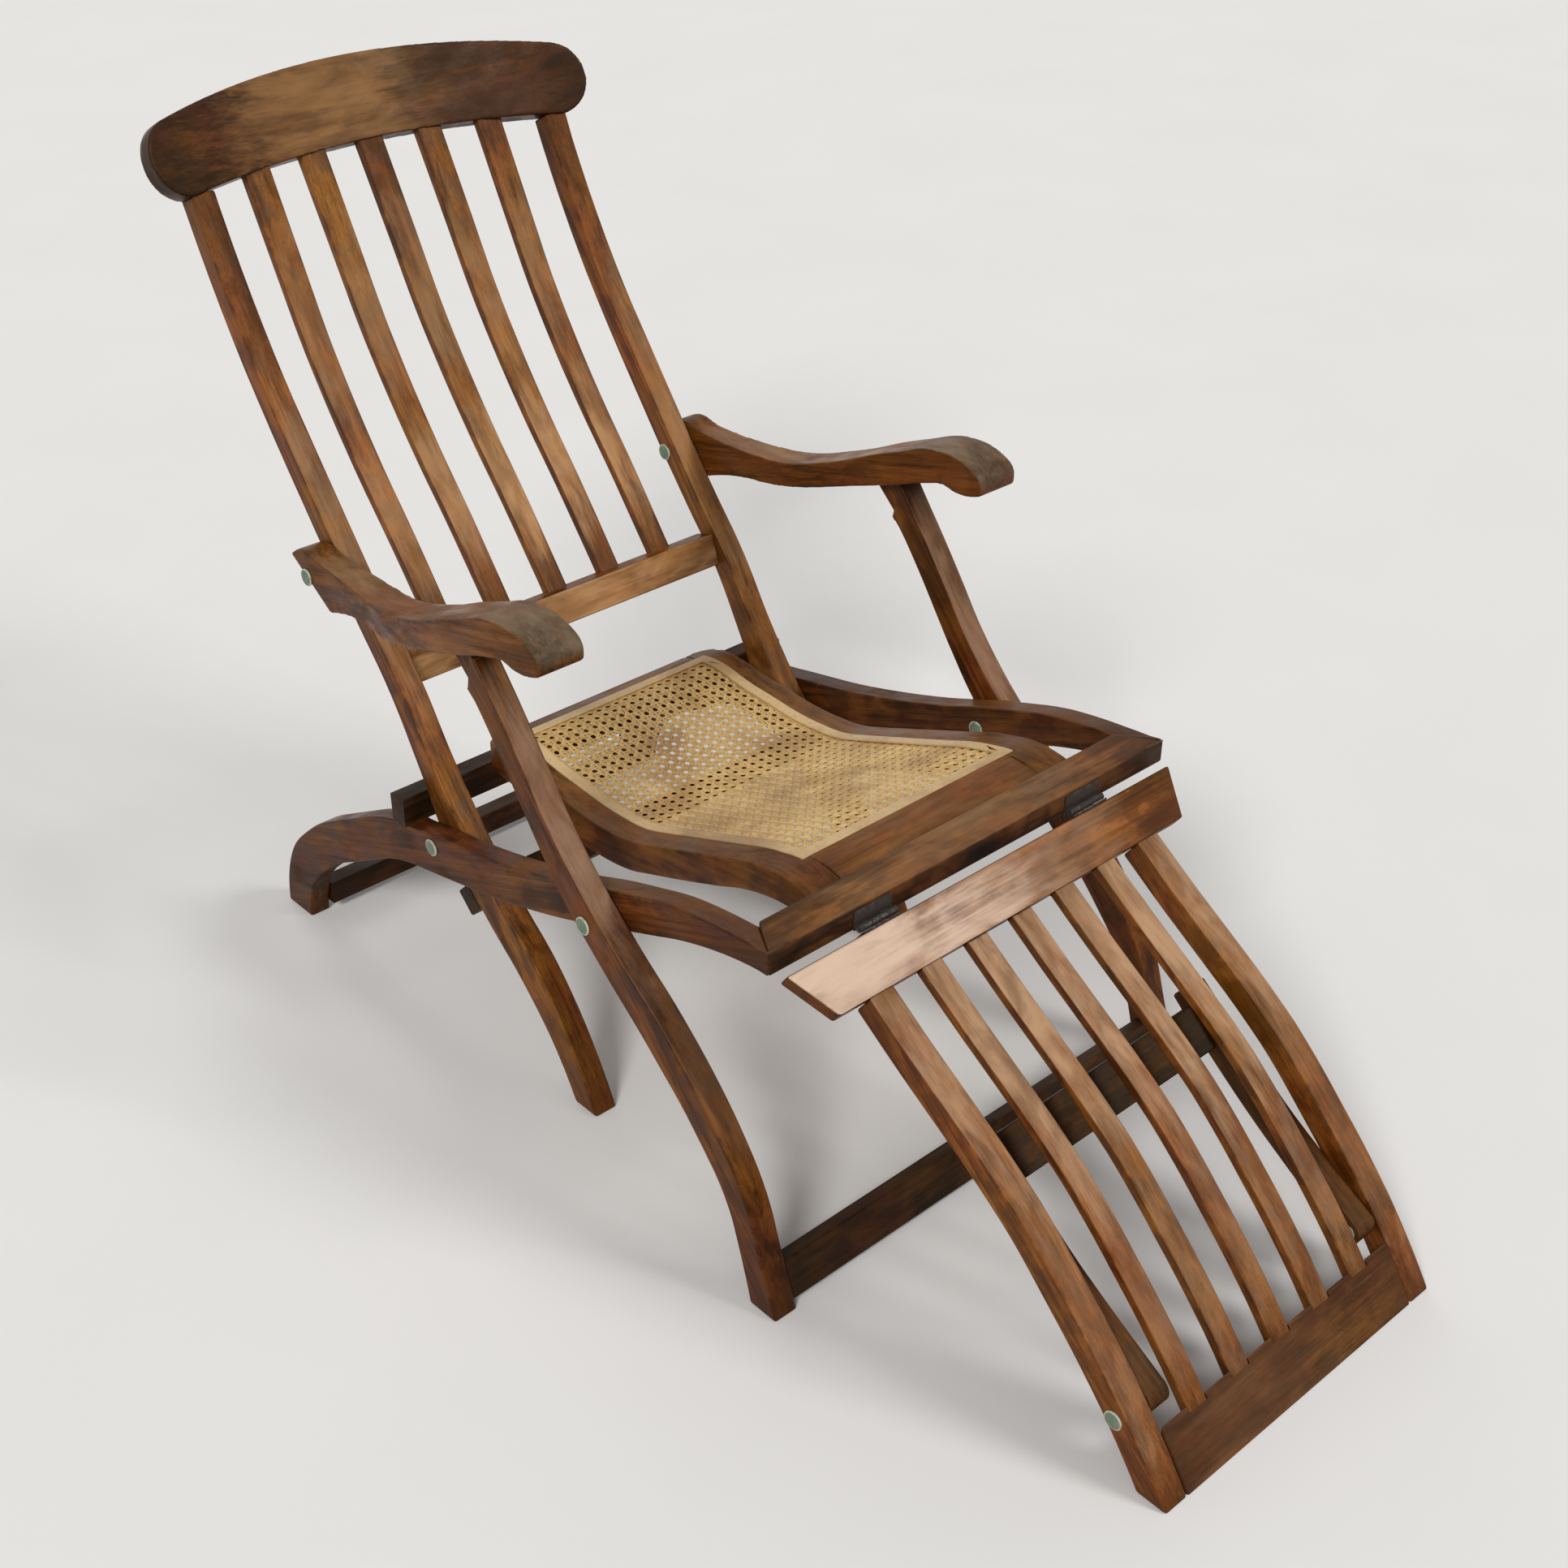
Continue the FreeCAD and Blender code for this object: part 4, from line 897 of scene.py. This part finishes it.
@dataclass
class Joinery:
    """A sub-assembly of timbers that move together.

    Attributes:
        body: the moving part.
        timber: timber of most of its members.
        slot: the record's slot of most of its members.
        rounding: width of most rounded edges in metres.
        bar_rounding: width of the rounded edges of its bars in metres.
    """

    body: str
    timber: Timber
    slot: Slot
    rounding: float = 0.0025
    bar_rounding: float = 0.002

    def members(self) -> list[Member]:
        """List the timbers; each sub-assembly has its own."""
        raise NotImplementedError

    def build(self, shop: TimberShop) -> None:
        """Model and dress every member.

        Args:
            shop: where the timber materials are made.
        """
        for member in self.members():
            piece = member.model()
            material = shop.material(member.node, member.timber or self.timber, piece.data,
                                     member.patches)
            dress(piece, material, self.body, member.slot or self.slot, member.node)


@dataclass
class SideFrame(Joinery):
    """Side rails, crossrail, rest bar and rear stretcher: the fixed part of the chair.

    Attributes:
        crossrail_reach: half length of the crossrail's top that is worn pale, with a painted
            highlight.
    """

    body: str = "base"
    timber: Timber = RAIL_TIMBER
    slot: Slot = Slot.RAIL
    crossrail_reach: float = 0.22

    def members(self) -> list[Member]:
        """List rails, crossrail and bars.

        Returns:
            The timbers in building order.
        """
        # The tops of the rails and the crossrail are worn pale, with a painted highlight.
        rail = (Patch(0.25, 0.25, 0.35, Side.UP),)
        crossrail = (Patch(0.0, self.crossrail_reach, 0.6, Side.UP),
                     # The crossrail's whole front face is turned near black.
                     Patch(0.0, 0.6, 1.0, Side.AHEAD, NEAR_BLACK))
        return [
            Member("left_side_rail", rail, self.rounding),
            Member("right_side_rail", rail, self.rounding),
            Member("front_crossrail", crossrail, 0.0022, CROSSRAIL_TIMBER),
            # Painted shade: the rest bar and rear stretcher are painted darker for the shadow
            # under the seat.
            Member("rest_bar", (), self.bar_rounding, PAINTED_SHADE_TIMBER, Slot.DARK),
            Member("rear_stretcher", (), self.bar_rounding, PAINTED_SHADE_TIMBER, Slot.DARK),
        ]


@dataclass
class BackFrame(Joinery):
    """Crest, posts, slats, crossbar and leg stretcher: the back, which turns on the rails.

    Attributes:
        crest_rounds: how often the crest's surface is smoothed.
        worn_and_highlit: how strongly each slat is worn pale, with a painted highlight, at its
            lower end.
    """

    body: str = "back"
    timber: Timber = BACK_TIMBER
    slot: Slot = Slot.BACK
    post_rounding: float = 0.0028
    slat_rounding: float = 0.0022
    crest_rounds: int = 9
    worn_and_highlit: tuple[float, ...] = (0.5, 0.75, 1.0, 0.9, 0.9)

    def members(self) -> list[Member]:
        """List posts, crest, bars and slats.

        Returns:
            The timbers in building order.
        """
        # The pale patches here are wear with a painted highlight; the crest's umber patch is its
        # own dark colour.
        post = (Patch(0.12, 0.26, 0.5),)
        crest = (Patch(-0.03, 0.17, 1.0), Patch(0.13, 0.09, 0.9, Side.SITTER, UMBER))
        members = [
            Member("left_back_post", post, self.post_rounding, trim=CREST_SHOULDER),
            Member("right_back_post", post, self.post_rounding, trim=CREST_SHOULDER),
            Member("crest_rail", crest, 0.0, CREST_TIMBER, Slot.DARK, self.crest_rounds),
            Member("back_crossbar", (Patch(0.0, 0.3, 1.0),), self.slat_rounding),
            # Painted shade: the leg stretcher is painted darker for the shadow it sits in.
            Member("leg_stretcher", (), self.bar_rounding, PAINTED_SHADE_TIMBER, Slot.DARK),
        ]
        for number, strength in enumerate(self.worn_and_highlit, start=1):
            slat = (Patch(-0.13, 0.12, strength), Patch(0.08, 0.14, 0.4))
            members.append(Member("back_slat_%d" % number, slat, self.slat_rounding))
        return members


@dataclass
class FrontLegs(Joinery):
    """Front legs and their stretcher, which turn on the side rails."""

    body: str = "front_legs"
    timber: Timber = LEG_TIMBER
    slot: Slot = Slot.LEG

    def members(self) -> list[Member]:
        """List legs and stretcher.

        Returns:
            The timbers in building order.
        """
        # The legs' fronts are worn pale, with a painted highlight.
        worn_and_highlit = (Patch(0.12, 0.2, 0.9, Side.FRONT), Patch(-0.08, 0.16, 0.3, Side.FRONT))
        return [
            Member("left_front_leg", worn_and_highlit, self.rounding),
            Member("right_front_leg", worn_and_highlit, self.rounding),
            # Painted shade: the front stretcher is painted darker for the shadow it sits in.
            Member("front_stretcher", (), self.bar_rounding, PAINTED_SHADE_TIMBER, Slot.DARK),
        ]


@dataclass
class Armrest(Joinery):
    """One scrolled armrest, which turns on the back post.

    Attributes:
        side: "left" or "right", the sitter's.
        wear_rounds: how often its surface is smoothed.
    """

    body: str = "left_arm_body"
    timber: Timber = ARM_TIMBER
    slot: Slot = Slot.ARM
    side: str = "left"
    wear_rounds: int = 9

    def members(self) -> list[Member]:
        """List the one arm, worn grey and black at its scroll and pale, with a painted highlight,
        on its top.

        Returns:
            The timbers in building order.
        """
        handled_and_highlit = (Patch(-0.1, 0.12, 0.7, Side.UP), Patch(0.06, 0.1, 0.45, Side.UP),
                   Patch(-0.24, 0.08, 0.9, Side.UP, UMBER),
                   Patch(0.2, 0.14, 0.8, Side.NOSE, WEATHERED),
                   Patch(0.27, 0.11, 0.75, Side.NOSE, NEAR_BLACK),
                   Patch(0.275, 0.04, 0.6, Side.FRONT, BLEACH_AND_SHEEN))
        return [Member(self.side + "_arm", handled_and_highlit, rounds=self.wear_rounds)]


@dataclass
class SeatFrame(Joinery):
    """Four rails round the cane: the seat frame, which lifts off the rest bar."""

    body: str = "seat"
    timber: Timber = SEAT_TIMBER
    slot: Slot = Slot.SEAT

    def members(self) -> list[Member]:
        """List the four rails.

        Returns:
            The timbers in building order.
        """
        # The seat rails' tops are worn pale, with a painted sheen.
        worn_and_sheen = (Patch(0.0, 0.2, 0.35, Side.UP),)
        return [Member("seat_%s_rail" % side, worn_and_sheen, self.rounding)
                for side in ("left", "right", "front", "rear")]


@dataclass
class Footrest(Joinery):
    """Boards, rails and slats of the footrest, which hangs on the crossrail.

    Attributes:
        board_rounding: width of the rounded edges of the top board and the rails.
    """

    body: str = "footrest"
    timber: Timber = FOOT_TIMBER
    slot: Slot = Slot.FOOT
    board_rounding: float = 0.003
    slats: int = 5

    def members(self) -> list[Member]:
        """List boards, rails and slats.

        Returns:
            The timbers in building order.
        """
        top = Side.FOOT_TOP
        # The near half of the top board is painted palest for the wax's sheen; the other pale
        # patches here are wear with a painted highlight.
        board = (Patch(0.05, 0.14, 0.5, top), Patch(-0.17, 0.26, 1.0, top, BLEACH_AND_SHEEN),
                 Patch(-0.2, 0.12, 0.8, top, BLEACH_AND_SHEEN))
        rail = (Patch(0.14, 0.18, 0.8, top), Patch(-0.1, 0.15, 0.3, top))
        slat = (Patch(0.14, 0.24, 1.0, top), Patch(-0.12, 0.12, 0.3, top))
        lower = (Patch(-0.05, 0.15, 0.3, top),)
        members = [
            Member("footrest_top_board", board, self.board_rounding),
            Member("footrest_left_rail", rail, self.board_rounding),
            Member("footrest_right_rail", rail, self.board_rounding),
            Member("footrest_bottom_board", lower, self.rounding, BOARD_TIMBER),
        ]
        for number in range(1, self.slats + 1):
            members.append(Member("footrest_slat_%d" % number, slat, self.rounding))
        return members


@dataclass
class FootrestLegs(Joinery):
    """Folded legs under the footrest, which turn on its rails."""

    body: str = "footrest_legs"
    timber: Timber = BOARD_TIMBER
    slot: Slot = Slot.FOOT
    bar_rounding: float = 0.0015

    def members(self) -> list[Member]:
        """List the two legs and their crossbar.

        Returns:
            The timbers in building order.
        """
        return [
            Member("footrest_left_leg", (), self.rounding),
            Member("footrest_right_leg", (), self.rounding),
            # Painted shade: the crossbar is painted darker for the shadow it sits in.
            Member("footrest_leg_crossbar", (), self.bar_rounding, PAINTED_SHADE_TIMBER),
        ]


# Cane: how near a vertex lies to the panel's ends or to a cut, and corners round a strand.
END_WITHIN = 0.002
CUT_WITHIN = 0.0002
CORNERS = 5


@dataclass(frozen=True)
class Strand:
    """One strand of cane on its way across the seat.

    Attributes:
        start: a point of its line, as (x, y).
        way: its unit direction.
        width: its width.
        step: length between two rings of corners.
        height: how far it rises above the panel's middle.
        wave: length along X over which it rises and dips once.
    """

    start: tuple[float, float]
    way: tuple[float, float]
    width: float
    step: float
    height: float = 0.0
    wave: float = math.inf


@dataclass
class CaneSeat:
    """Six-way woven cane in the seat frame, with its binding strip.

    Attributes:
        pitch: distance between two pairs of strands.
        slant_width: width of the slanting strands.
        pair_half: half the distance between the strands of a pair.
        layer: how far the strands of a lengthwise pair lie above and below the middle.
        weave: how far a slanting strand rises and dips.
        reach: how far from the middle strands are laid, past the panel's edges.
        shortest: strands shorter than this are left out.
        shoulder: height of a strand's shoulders, as a share of its crown's.
        seed: where the strands' random tints start.
        binding_tint: how pale the binding is, from 0 to 1.
    """

    pitch: float = 0.0116
    strand_width: float = 0.0024
    slant_width: float = 0.0028
    strand_thick: float = 0.0005
    pair_half: float = 0.0019
    layer: float = 0.0003
    weave: float = 0.0007
    reach: float = 0.4
    shortest: float = 0.004
    shoulder: float = 0.4
    seed: int = 7
    cane: Cane = Cane()
    binding: Cane = BINDING_CANE
    binding_tint: float = 0.8
    body: str = "seat"

    def build(self) -> None:
        """Weave the panel and dress it and the binding."""
        self._measure()
        material = self.cane.material("split_cane")
        dress(self._weave(), material, self.body, Slot.CANE, "cane_panel")
        strip = dressed_copy("cane_binding", "worn_cane_binding", 0.0005, shortest=0.001)
        tints = np.full(len(strip.data.vertices), self.binding_tint, np.float32)
        store(strip.data, "strand_tint", tints)
        material = self.binding.material("binding_cane")
        dress(strip, material, self.body, Slot.BINDING, "cane_binding")

    def _measure(self) -> None:
        """Read the panel's outline and the line of its middle from its solid."""
        places = places_of(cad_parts["cane_panel"].data)
        self.front, self.rear = places[:, 1].min(), places[:, 1].max()
        near_front = places[places[:, 1] < self.front + END_WITHIN]
        near_rear = places[places[:, 1] > self.rear - END_WITHIN]
        self.front_half = np.abs(near_front[:, 0]).max()
        self.rear_half = np.abs(near_rear[:, 0]).max()
        self.line_y = np.unique(places[:, 1].round(4))
        cuts = [places[np.abs(places[:, 1] - y) < CUT_WITHIN][:, 2] for y in self.line_y]
        self.line_z = np.array([(cut.max() + cut.min()) / 2 for cut in cuts])

    def _inside(self, start: tuple[float, float],
                way: tuple[float, float]) -> tuple[float, float] | None:
        """Where a straight line crosses the panel's outline.

        Args:
            start: a point of the line, as (x, y).
            way: its unit direction.

        Returns:
            Distances from the start to where it enters and leaves, or None.
        """
        low, high = -math.inf, math.inf
        slope = (self.rear_half - self.front_half) / (self.rear - self.front)
        base = self.front_half - slope * self.front
        for a, b, c in ((0.0, 1.0, self.rear), (0.0, -1.0, -self.front),
                        (1.0, -slope, base), (-1.0, -slope, base)):
            speed = a * way[0] + b * way[1]
            room = c - (a * start[0] + b * start[1])
            if abs(speed) < 1e-9:
                if room < 0:
                    return None
            elif speed > 0:
                high = min(high, room / speed)
            else:
                low = max(low, room / speed)
        return (low, high) if high - low > self.shortest else None

    def _points(self, strand: Strand) -> np.ndarray | None:
        """Lay rings of corners along one strand.

        Args:
            strand: the strand.

        Returns:
            The corners, ring by ring, or None outside the panel.
        """
        start, way = strand.start, strand.way
        span = self._inside(start, way)
        if span is None:
            return None
        rings = max(2, int(math.ceil((span[1] - span[0]) / strand.step)) + 1)
        along = np.linspace(span[0], span[1], rings)
        x, y = start[0] + way[0] * along, start[1] + way[1] * along
        rise = strand.height * np.cos(2 * math.pi * x / strand.wave)
        z = np.interp(y, self.line_y, self.line_z) + rise
        half, crown = strand.width / 2, self.strand_thick / 2
        shoulder = crown * self.shoulder
        corners = [np.stack([x - way[1] * across, y + way[0] * across, z + up], 1)
                   for across, up in ((-half, -crown), (half, -crown), (half, shoulder),
                                      (0.0, crown), (-half, shoulder))]
        return np.stack(corners, 1).reshape(-1, 3)

    def _strands(self) -> list[Strand]:
        """Lay out every strand of the six-way pattern.

        Returns:
            The strands in the order in which they are woven.
        """
        p, strands = self.pitch, []
        middle = (self.front + self.rear) / 2
        reach = int(self.reach / p)
        for i in range(-reach, reach + 1):
            for side in (-1.0, 1.0):
                pair = self.pair_half * side
                strands.append(Strand((i * p + pair, middle), (0.0, 1.0), self.strand_width, p,
                                      self.layer * side))
                strands.append(Strand((0.0, middle + i * p + pair), (1.0, 0.0),
                                      self.strand_width, p))
        diagonal = math.sqrt(0.5)
        for i in range(-2 * reach, 2 * reach + 1):
            for side in (1.0, -1.0):
                strands.append(Strand(((i + 0.5) * p, middle), (diagonal * side, diagonal),
                                      self.slant_width, p * 0.25 / diagonal, self.weave * side, p))
        return strands

    def _weave(self) -> Thing:
        """Make the whole panel as one mesh of closed strands.

        Returns:
            The woven panel.
        """
        rng = np.random.default_rng(self.seed)
        corners, faces, tints, base = [], [], [], 0
        for strand in self._strands():
            points = self._points(strand)
            if points is None:
                continue
            corners.append(points)
            tints.append(np.full(len(points), rng.random()))
            end = base + len(points) - CORNERS
            for a in range(base, end, CORNERS):
                for k in range(CORNERS):
                    b = a + (k + 1) % CORNERS
                    faces.append((a + k, b, b + CORNERS, a + CORNERS + k))
            faces.append(tuple(base + k for k in reversed(range(CORNERS))))
            faces.append(tuple(end + k for k in range(CORNERS)))
            base += len(points)
        mesh = bpy.data.meshes.new("woven_cane")
        mesh.from_pydata(np.concatenate(corners).tolist(), [], faces)
        store(mesh, "strand_tint", np.concatenate(tints).astype(np.float32))
        mesh.update()
        piece = link("woven_cane", mesh)
        with editing(piece):
            bpy.ops.mesh.normals_make_consistent(inside=False)
        bpy.ops.object.shade_smooth_by_angle(angle=math.radians(SMOOTH_CANE))
        return piece


@dataclass(frozen=True)
class Rivet:
    """A bolt whose ends show as a round washer with a raised button.

    Attributes:
        button_radius: radius of the button in its middle.
        proud: how far an end stands off the timber.
        neck: share of the button's height up to its shoulder.
        crown: share of its height from the shoulder to the top.
        taper: size of its top against its shoulder.
        lip: width of the top's rim, as a share of the button's radius.
        dish: depth of the hollow in the top.
        edge: width of the rounded edges.
        sides: facets round the washer.
        shank_sides: facets round the shank.
    """

    washer_radius: float = 0.009
    washer_thick: float = 0.0016
    button_radius: float = 0.0048
    proud: float = 0.0036
    neck: float = 0.55
    crown: float = 0.45
    taper: float = 0.62
    lip: float = 0.3
    dish: float = 0.0004
    edge: float = 0.0005
    shank_radius: float = 0.0038
    sides: int = 32
    shank_sides: int = 20

    def end(self, x: float, outward: float, y: float, z: float, height: float) -> Thing:
        """Model one end of a bolt.

        Args:
            x: where the washer lies on the timber.
            outward: 1 or -1, the way it faces.
            y: place of the bolt's axis.
            z: place of the bolt's axis.
            height: how far the end stands proud.

        Returns:
            The end as an object.
        """
        piece = self._rod(self.sides, self.washer_radius, self.washer_thick,
                          (x + outward * self.washer_thick / 2, y, z), outward)
        raised = outward * (height - self.washer_thick)
        with editing(piece):
            self._select_outer(piece, outward)
            bpy.ops.mesh.inset(thickness=self.washer_radius - self.button_radius)
            self._push(piece, raised * self.neck, 1.0)
            bpy.ops.mesh.extrude_region_move()
            self._push(piece, raised * self.crown, self.taper)
            bpy.ops.mesh.inset(thickness=self.button_radius * self.lip)
            self._push(piece, -outward * self.dish, 0.9)
        bevel = piece.modifiers.new("rim", "BEVEL")
        bevel.width = self.edge
        bevel.segments = 2
        bevel.limit_method = "ANGLE"
        bevel.angle_limit = math.radians(RIM_FROM)
        apply_all(piece)
        return piece

    @staticmethod
    def _push(piece: Thing, shift: float, scale: float) -> None:
        """Move the selected face along X and shrink it about its middle.

        Args:
            piece: the object in edit mode.
            shift: how far to move it.
            scale: how much of its size it keeps.
        """
        bpy.ops.transform.translate(value=(shift, 0.0, 0.0))
        if scale != 1.0:
            work = bmesh.from_edit_mesh(piece.data)
            chosen = [v for v in work.verts if v.select]
            middle = sum((v.co for v in chosen), Vector()) / len(chosen)
            for vertex in chosen:
                vertex.co = middle + (vertex.co - middle) * scale
            bmesh.update_edit_mesh(piece.data)

    @staticmethod
    def _select_outer(piece: Thing, outward: float) -> None:
        """Select the round face that looks away from the timber.

        Args:
            piece: the object in edit mode.
            outward: 1 or -1, the way it faces.
        """
        bpy.ops.mesh.select_all(action="DESELECT")
        bpy.ops.mesh.select_mode(type="FACE")
        work = bmesh.from_edit_mesh(piece.data)
        for face in work.faces:
            face.select = face.normal.x * outward > 0.9
        work.select_flush_mode()
        bmesh.update_edit_mesh(piece.data)

    def pair(self, name: str, node: str, inner: float, outer: float) -> Thing:
        """Both bolts of a node, left and right, with both their ends and shanks.

        Args:
            name: name of the piece.
            node: CAD node of the two bolts.
            inner: X of the timber face under the inner end.
            outer: X of the timber face under the outer end.

        Returns:
            The joined piece.
        """
        low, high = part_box(node)
        y, z = (low.y + high.y) / 2, (low.z + high.z) / 2
        ends = []
        for side in (1.0, -1.0):
            ends.append(self.end(side * outer, side, y, z, high.x - outer))
            ends.append(self.end(side * inner, -side, y, z, self.proud))
            ends.append(self._rod(self.shank_sides, self.shank_radius, abs(outer - inner),
                                  (side * (inner + outer) / 2, y, z)))
        only(ends[0])
        for end in ends:
            end.select_set(True)
        bpy.ops.object.join()
        piece = bpy.context.active_object
        piece.name = name
        smooth_shade(piece, SMOOTH_METAL)
        span = self.washer_radius - self.button_radius
        rims = [(math.hypot(v.co.y - y, v.co.z - z) - self.button_radius) / span
                for v in piece.data.vertices]
        store(piece.data, "rim", rims)
        return piece

    @staticmethod
    def _rod(sides: int, radius: float, length: float, middle: Place,
             outward: float = 1.0) -> Thing:
        """Make a plain round bar along X.

        Args:
            sides: facets round it.
            radius: its radius.
            length: its length.
            middle: its middle.
            outward: 1 or -1, the way its top faces.

        Returns:
            The bar as an object.
        """
        bpy.ops.mesh.primitive_cylinder_add(
            vertices=sides, radius=radius, depth=length, location=middle,
            rotation=(0.0, outward * math.pi / 2, 0.0))
        piece = bpy.context.active_object
        bpy.ops.object.transform_apply(location=True, rotation=True, scale=True)
        return piece


@dataclass
class Hardware:
    """Bolts, pins and hinges.

    Attributes:
        rivet: shape of a bolt's end.
        gap: room between an end and a timber of another body that turns beside it.
        edge: width of the rounded edges of pins and hinges.
    """

    rivet: Rivet = Rivet()
    gap: float = 0.0002
    edge: float = 0.0003

    def build(self) -> None:
        """Model and dress all the metal."""
        brass, iron = VERDIGRIS.material("verdigris_brass"), IRON.material("old_iron")
        rail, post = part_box("left_side_rail"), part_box("left_back_post")
        leg, foot_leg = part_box("left_front_leg"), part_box("footrest_left_leg")
        foot_rail, arm_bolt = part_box("footrest_left_rail"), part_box("arm_bolts")
        bolts = [
            ("back_pivot_bolts", "base", post[0].x - self.gap, rail[1].x),
            ("leg_pivot_bolts", "base", rail[0].x, leg[1].x + self.gap),
            ("arm_bolts", "back", post[0].x, arm_bolt[1].x - self.rivet.proud),
            ("footrest_bolts", "footrest", foot_leg[0].x - self.gap, foot_rail[1].x),
        ]
        for node, body, inner, outer in bolts:
            piece = self.rivet.pair("riveted_" + node, node, inner, outer)
            dress(piece, brass, body, Slot.BRASS, node)
        for side in ("left", "right"):
            node = side + "_arm_pin"
            piece = dressed_copy(node, "worn_" + node, self.edge, shortest=0.0005)
            dress(piece, brass, side + "_arm_body", Slot.BRASS, node)
        for node, body in (("seat_hinge_crossrail_leaves", "base"),
                           ("footrest_hinge_crossrail_leaves", "base"),
                           ("seat_hinge_seat_leaves", "seat"),
                           ("footrest_hinge_board_leaves", "footrest")):
            piece = dressed_copy(node, "worn_" + node, self.edge, shortest=0.0015)
            dress(piece, iron, body, Slot.IRON, node)


@dataclass(frozen=True)
class Lamp:
    """A soft sun, which looks as wide as its spread in degrees."""

    name: str
    place: Place
    spread: float
    power: float


@dataclass
class Studio:
    """Floor, lamps and camera.

    Attributes:
        eye: the camera's place.
        look: the way it looks.
        lens: focal length for the sensor.
        sensor: width of the frame, in mm like the lens.
        clip: how far the camera sees.
        floor_shade: how dark its darkest places are against it.
        room_light: the world's light on the chair.
        backdrop: the world's colour as it is seen.
        aim: the place that the lamps shine on.
        lamps: two in front and one behind.
    """

    eye: Place = (-1.1789, -1.3108, 1.4087)
    look: Place = (0.57024, 0.62585, -0.53211)
    lens: float = 49.23
    sensor: float = 36.0
    clip: float = 60.0
    floor_size: float = 14.0
    floor_colour: Colour = (0.80, 0.785, 0.765)
    floor_shade: float = 0.94
    room_light: Colour = (0.30, 0.30, 0.30)
    backdrop: Colour = (0.77, 0.755, 0.735)
    aim: Place = (0.0, -0.1, 0.35)
    lamps: tuple[Lamp, ...] = (Lamp("left", (-2.7, -1.5, 2.7), 17.0, 1.80),
                               Lamp("right", (1.5, -2.7, 2.9), 19.0, 1.28),
                               Lamp("behind", (0.8, 2.8, 2.6), 24.0, 0.40))

    def build(self) -> None:
        """Set up everything round the chair."""
        self._floor()
        self._lamps()
        self._camera()
        bpy.context.scene.view_settings.view_transform = "Standard"

    def _floor(self) -> None:
        """A wide plain floor with a faint unevenness."""
        bpy.ops.mesh.primitive_plane_add(size=self.floor_size, location=(0.0, 0.0, 0.0))
        floor = bpy.context.active_object
        floor.name = "pale_floor"
        material, t, shader = new_material("pale_floor")
        where = t.add("ShaderNodeTexCoord").outputs["Object"]
        cloud = t.ramp(t.noise(where, (3.0, 3.0, 3.0), 3.0), 0.3, 0.7, 0.0, 0.25)
        shade = tuple(c * self.floor_shade for c in self.floor_colour)
        t.fill(shader, {"Base Color": t.mix(cloud, self.floor_colour, shade),
                        "Roughness": 0.9, "Specular IOR Level": 0.1})
        floor.data.materials.append(material)

    def _lamps(self) -> None:
        """Two wide soft suns in front, one behind and a dim even world."""
        for lamp in self.lamps:
            data = bpy.data.lights.new(lamp.name, "SUN")
            data.angle = math.radians(lamp.spread)
            data.energy = lamp.power
            self._point(link(lamp.name, data), lamp.place, Vector(self.aim) - Vector(lamp.place))
        world = bpy.data.worlds.new("pale_room")
        world.use_nodes = True
        tree = Tree(world.node_tree)
        back = world.node_tree.nodes["Background"]
        rays = tree.add("ShaderNodeLightPath").outputs
        seen = tree.math("MAXIMUM", rays["Is Camera Ray"], rays["Is Glossy Ray"])
        seen = tree.math("MAXIMUM", seen, rays["Is Transmission Ray"])
        tree.fill(back, {"Color": tree.mix(seen, self.room_light, self.backdrop),
                         "Strength": 1.0})
        bpy.context.scene.world = world

    def _camera(self) -> None:
        """The camera, from the photograph's angle."""
        data = bpy.data.cameras.new("camera")
        data.lens = self.lens
        data.sensor_width = self.sensor
        data.sensor_fit = "HORIZONTAL"
        data.clip_end = self.clip
        camera = link("camera", data)
        self._point(camera, self.eye, Vector(self.look))
        bpy.context.scene.camera = camera

    @staticmethod
    def _point(thing: Thing, place: Place, way: Vector) -> None:
        """Place a lamp or camera and turn it to look along a direction."""
        thing.location = place
        thing.rotation_euler = way.to_track_quat("-Z", "Y").to_euler()


def main() -> None:
    """Build the chair piece by piece, then the studio round it."""
    logging.basicConfig(level=logging.INFO, format="%(message)s")
    shop = TimberShop()
    for part in (SideFrame(), BackFrame(), FrontLegs(), Armrest("left_arm_body", side="left"),
                 Armrest("right_arm_body", side="right"), SeatFrame(), Footrest(),
                 FootrestLegs()):
        part.build(shop)
    CaneSeat().build()
    Hardware().build()
    Studio().build()


if __name__ == "__main__":
    main()
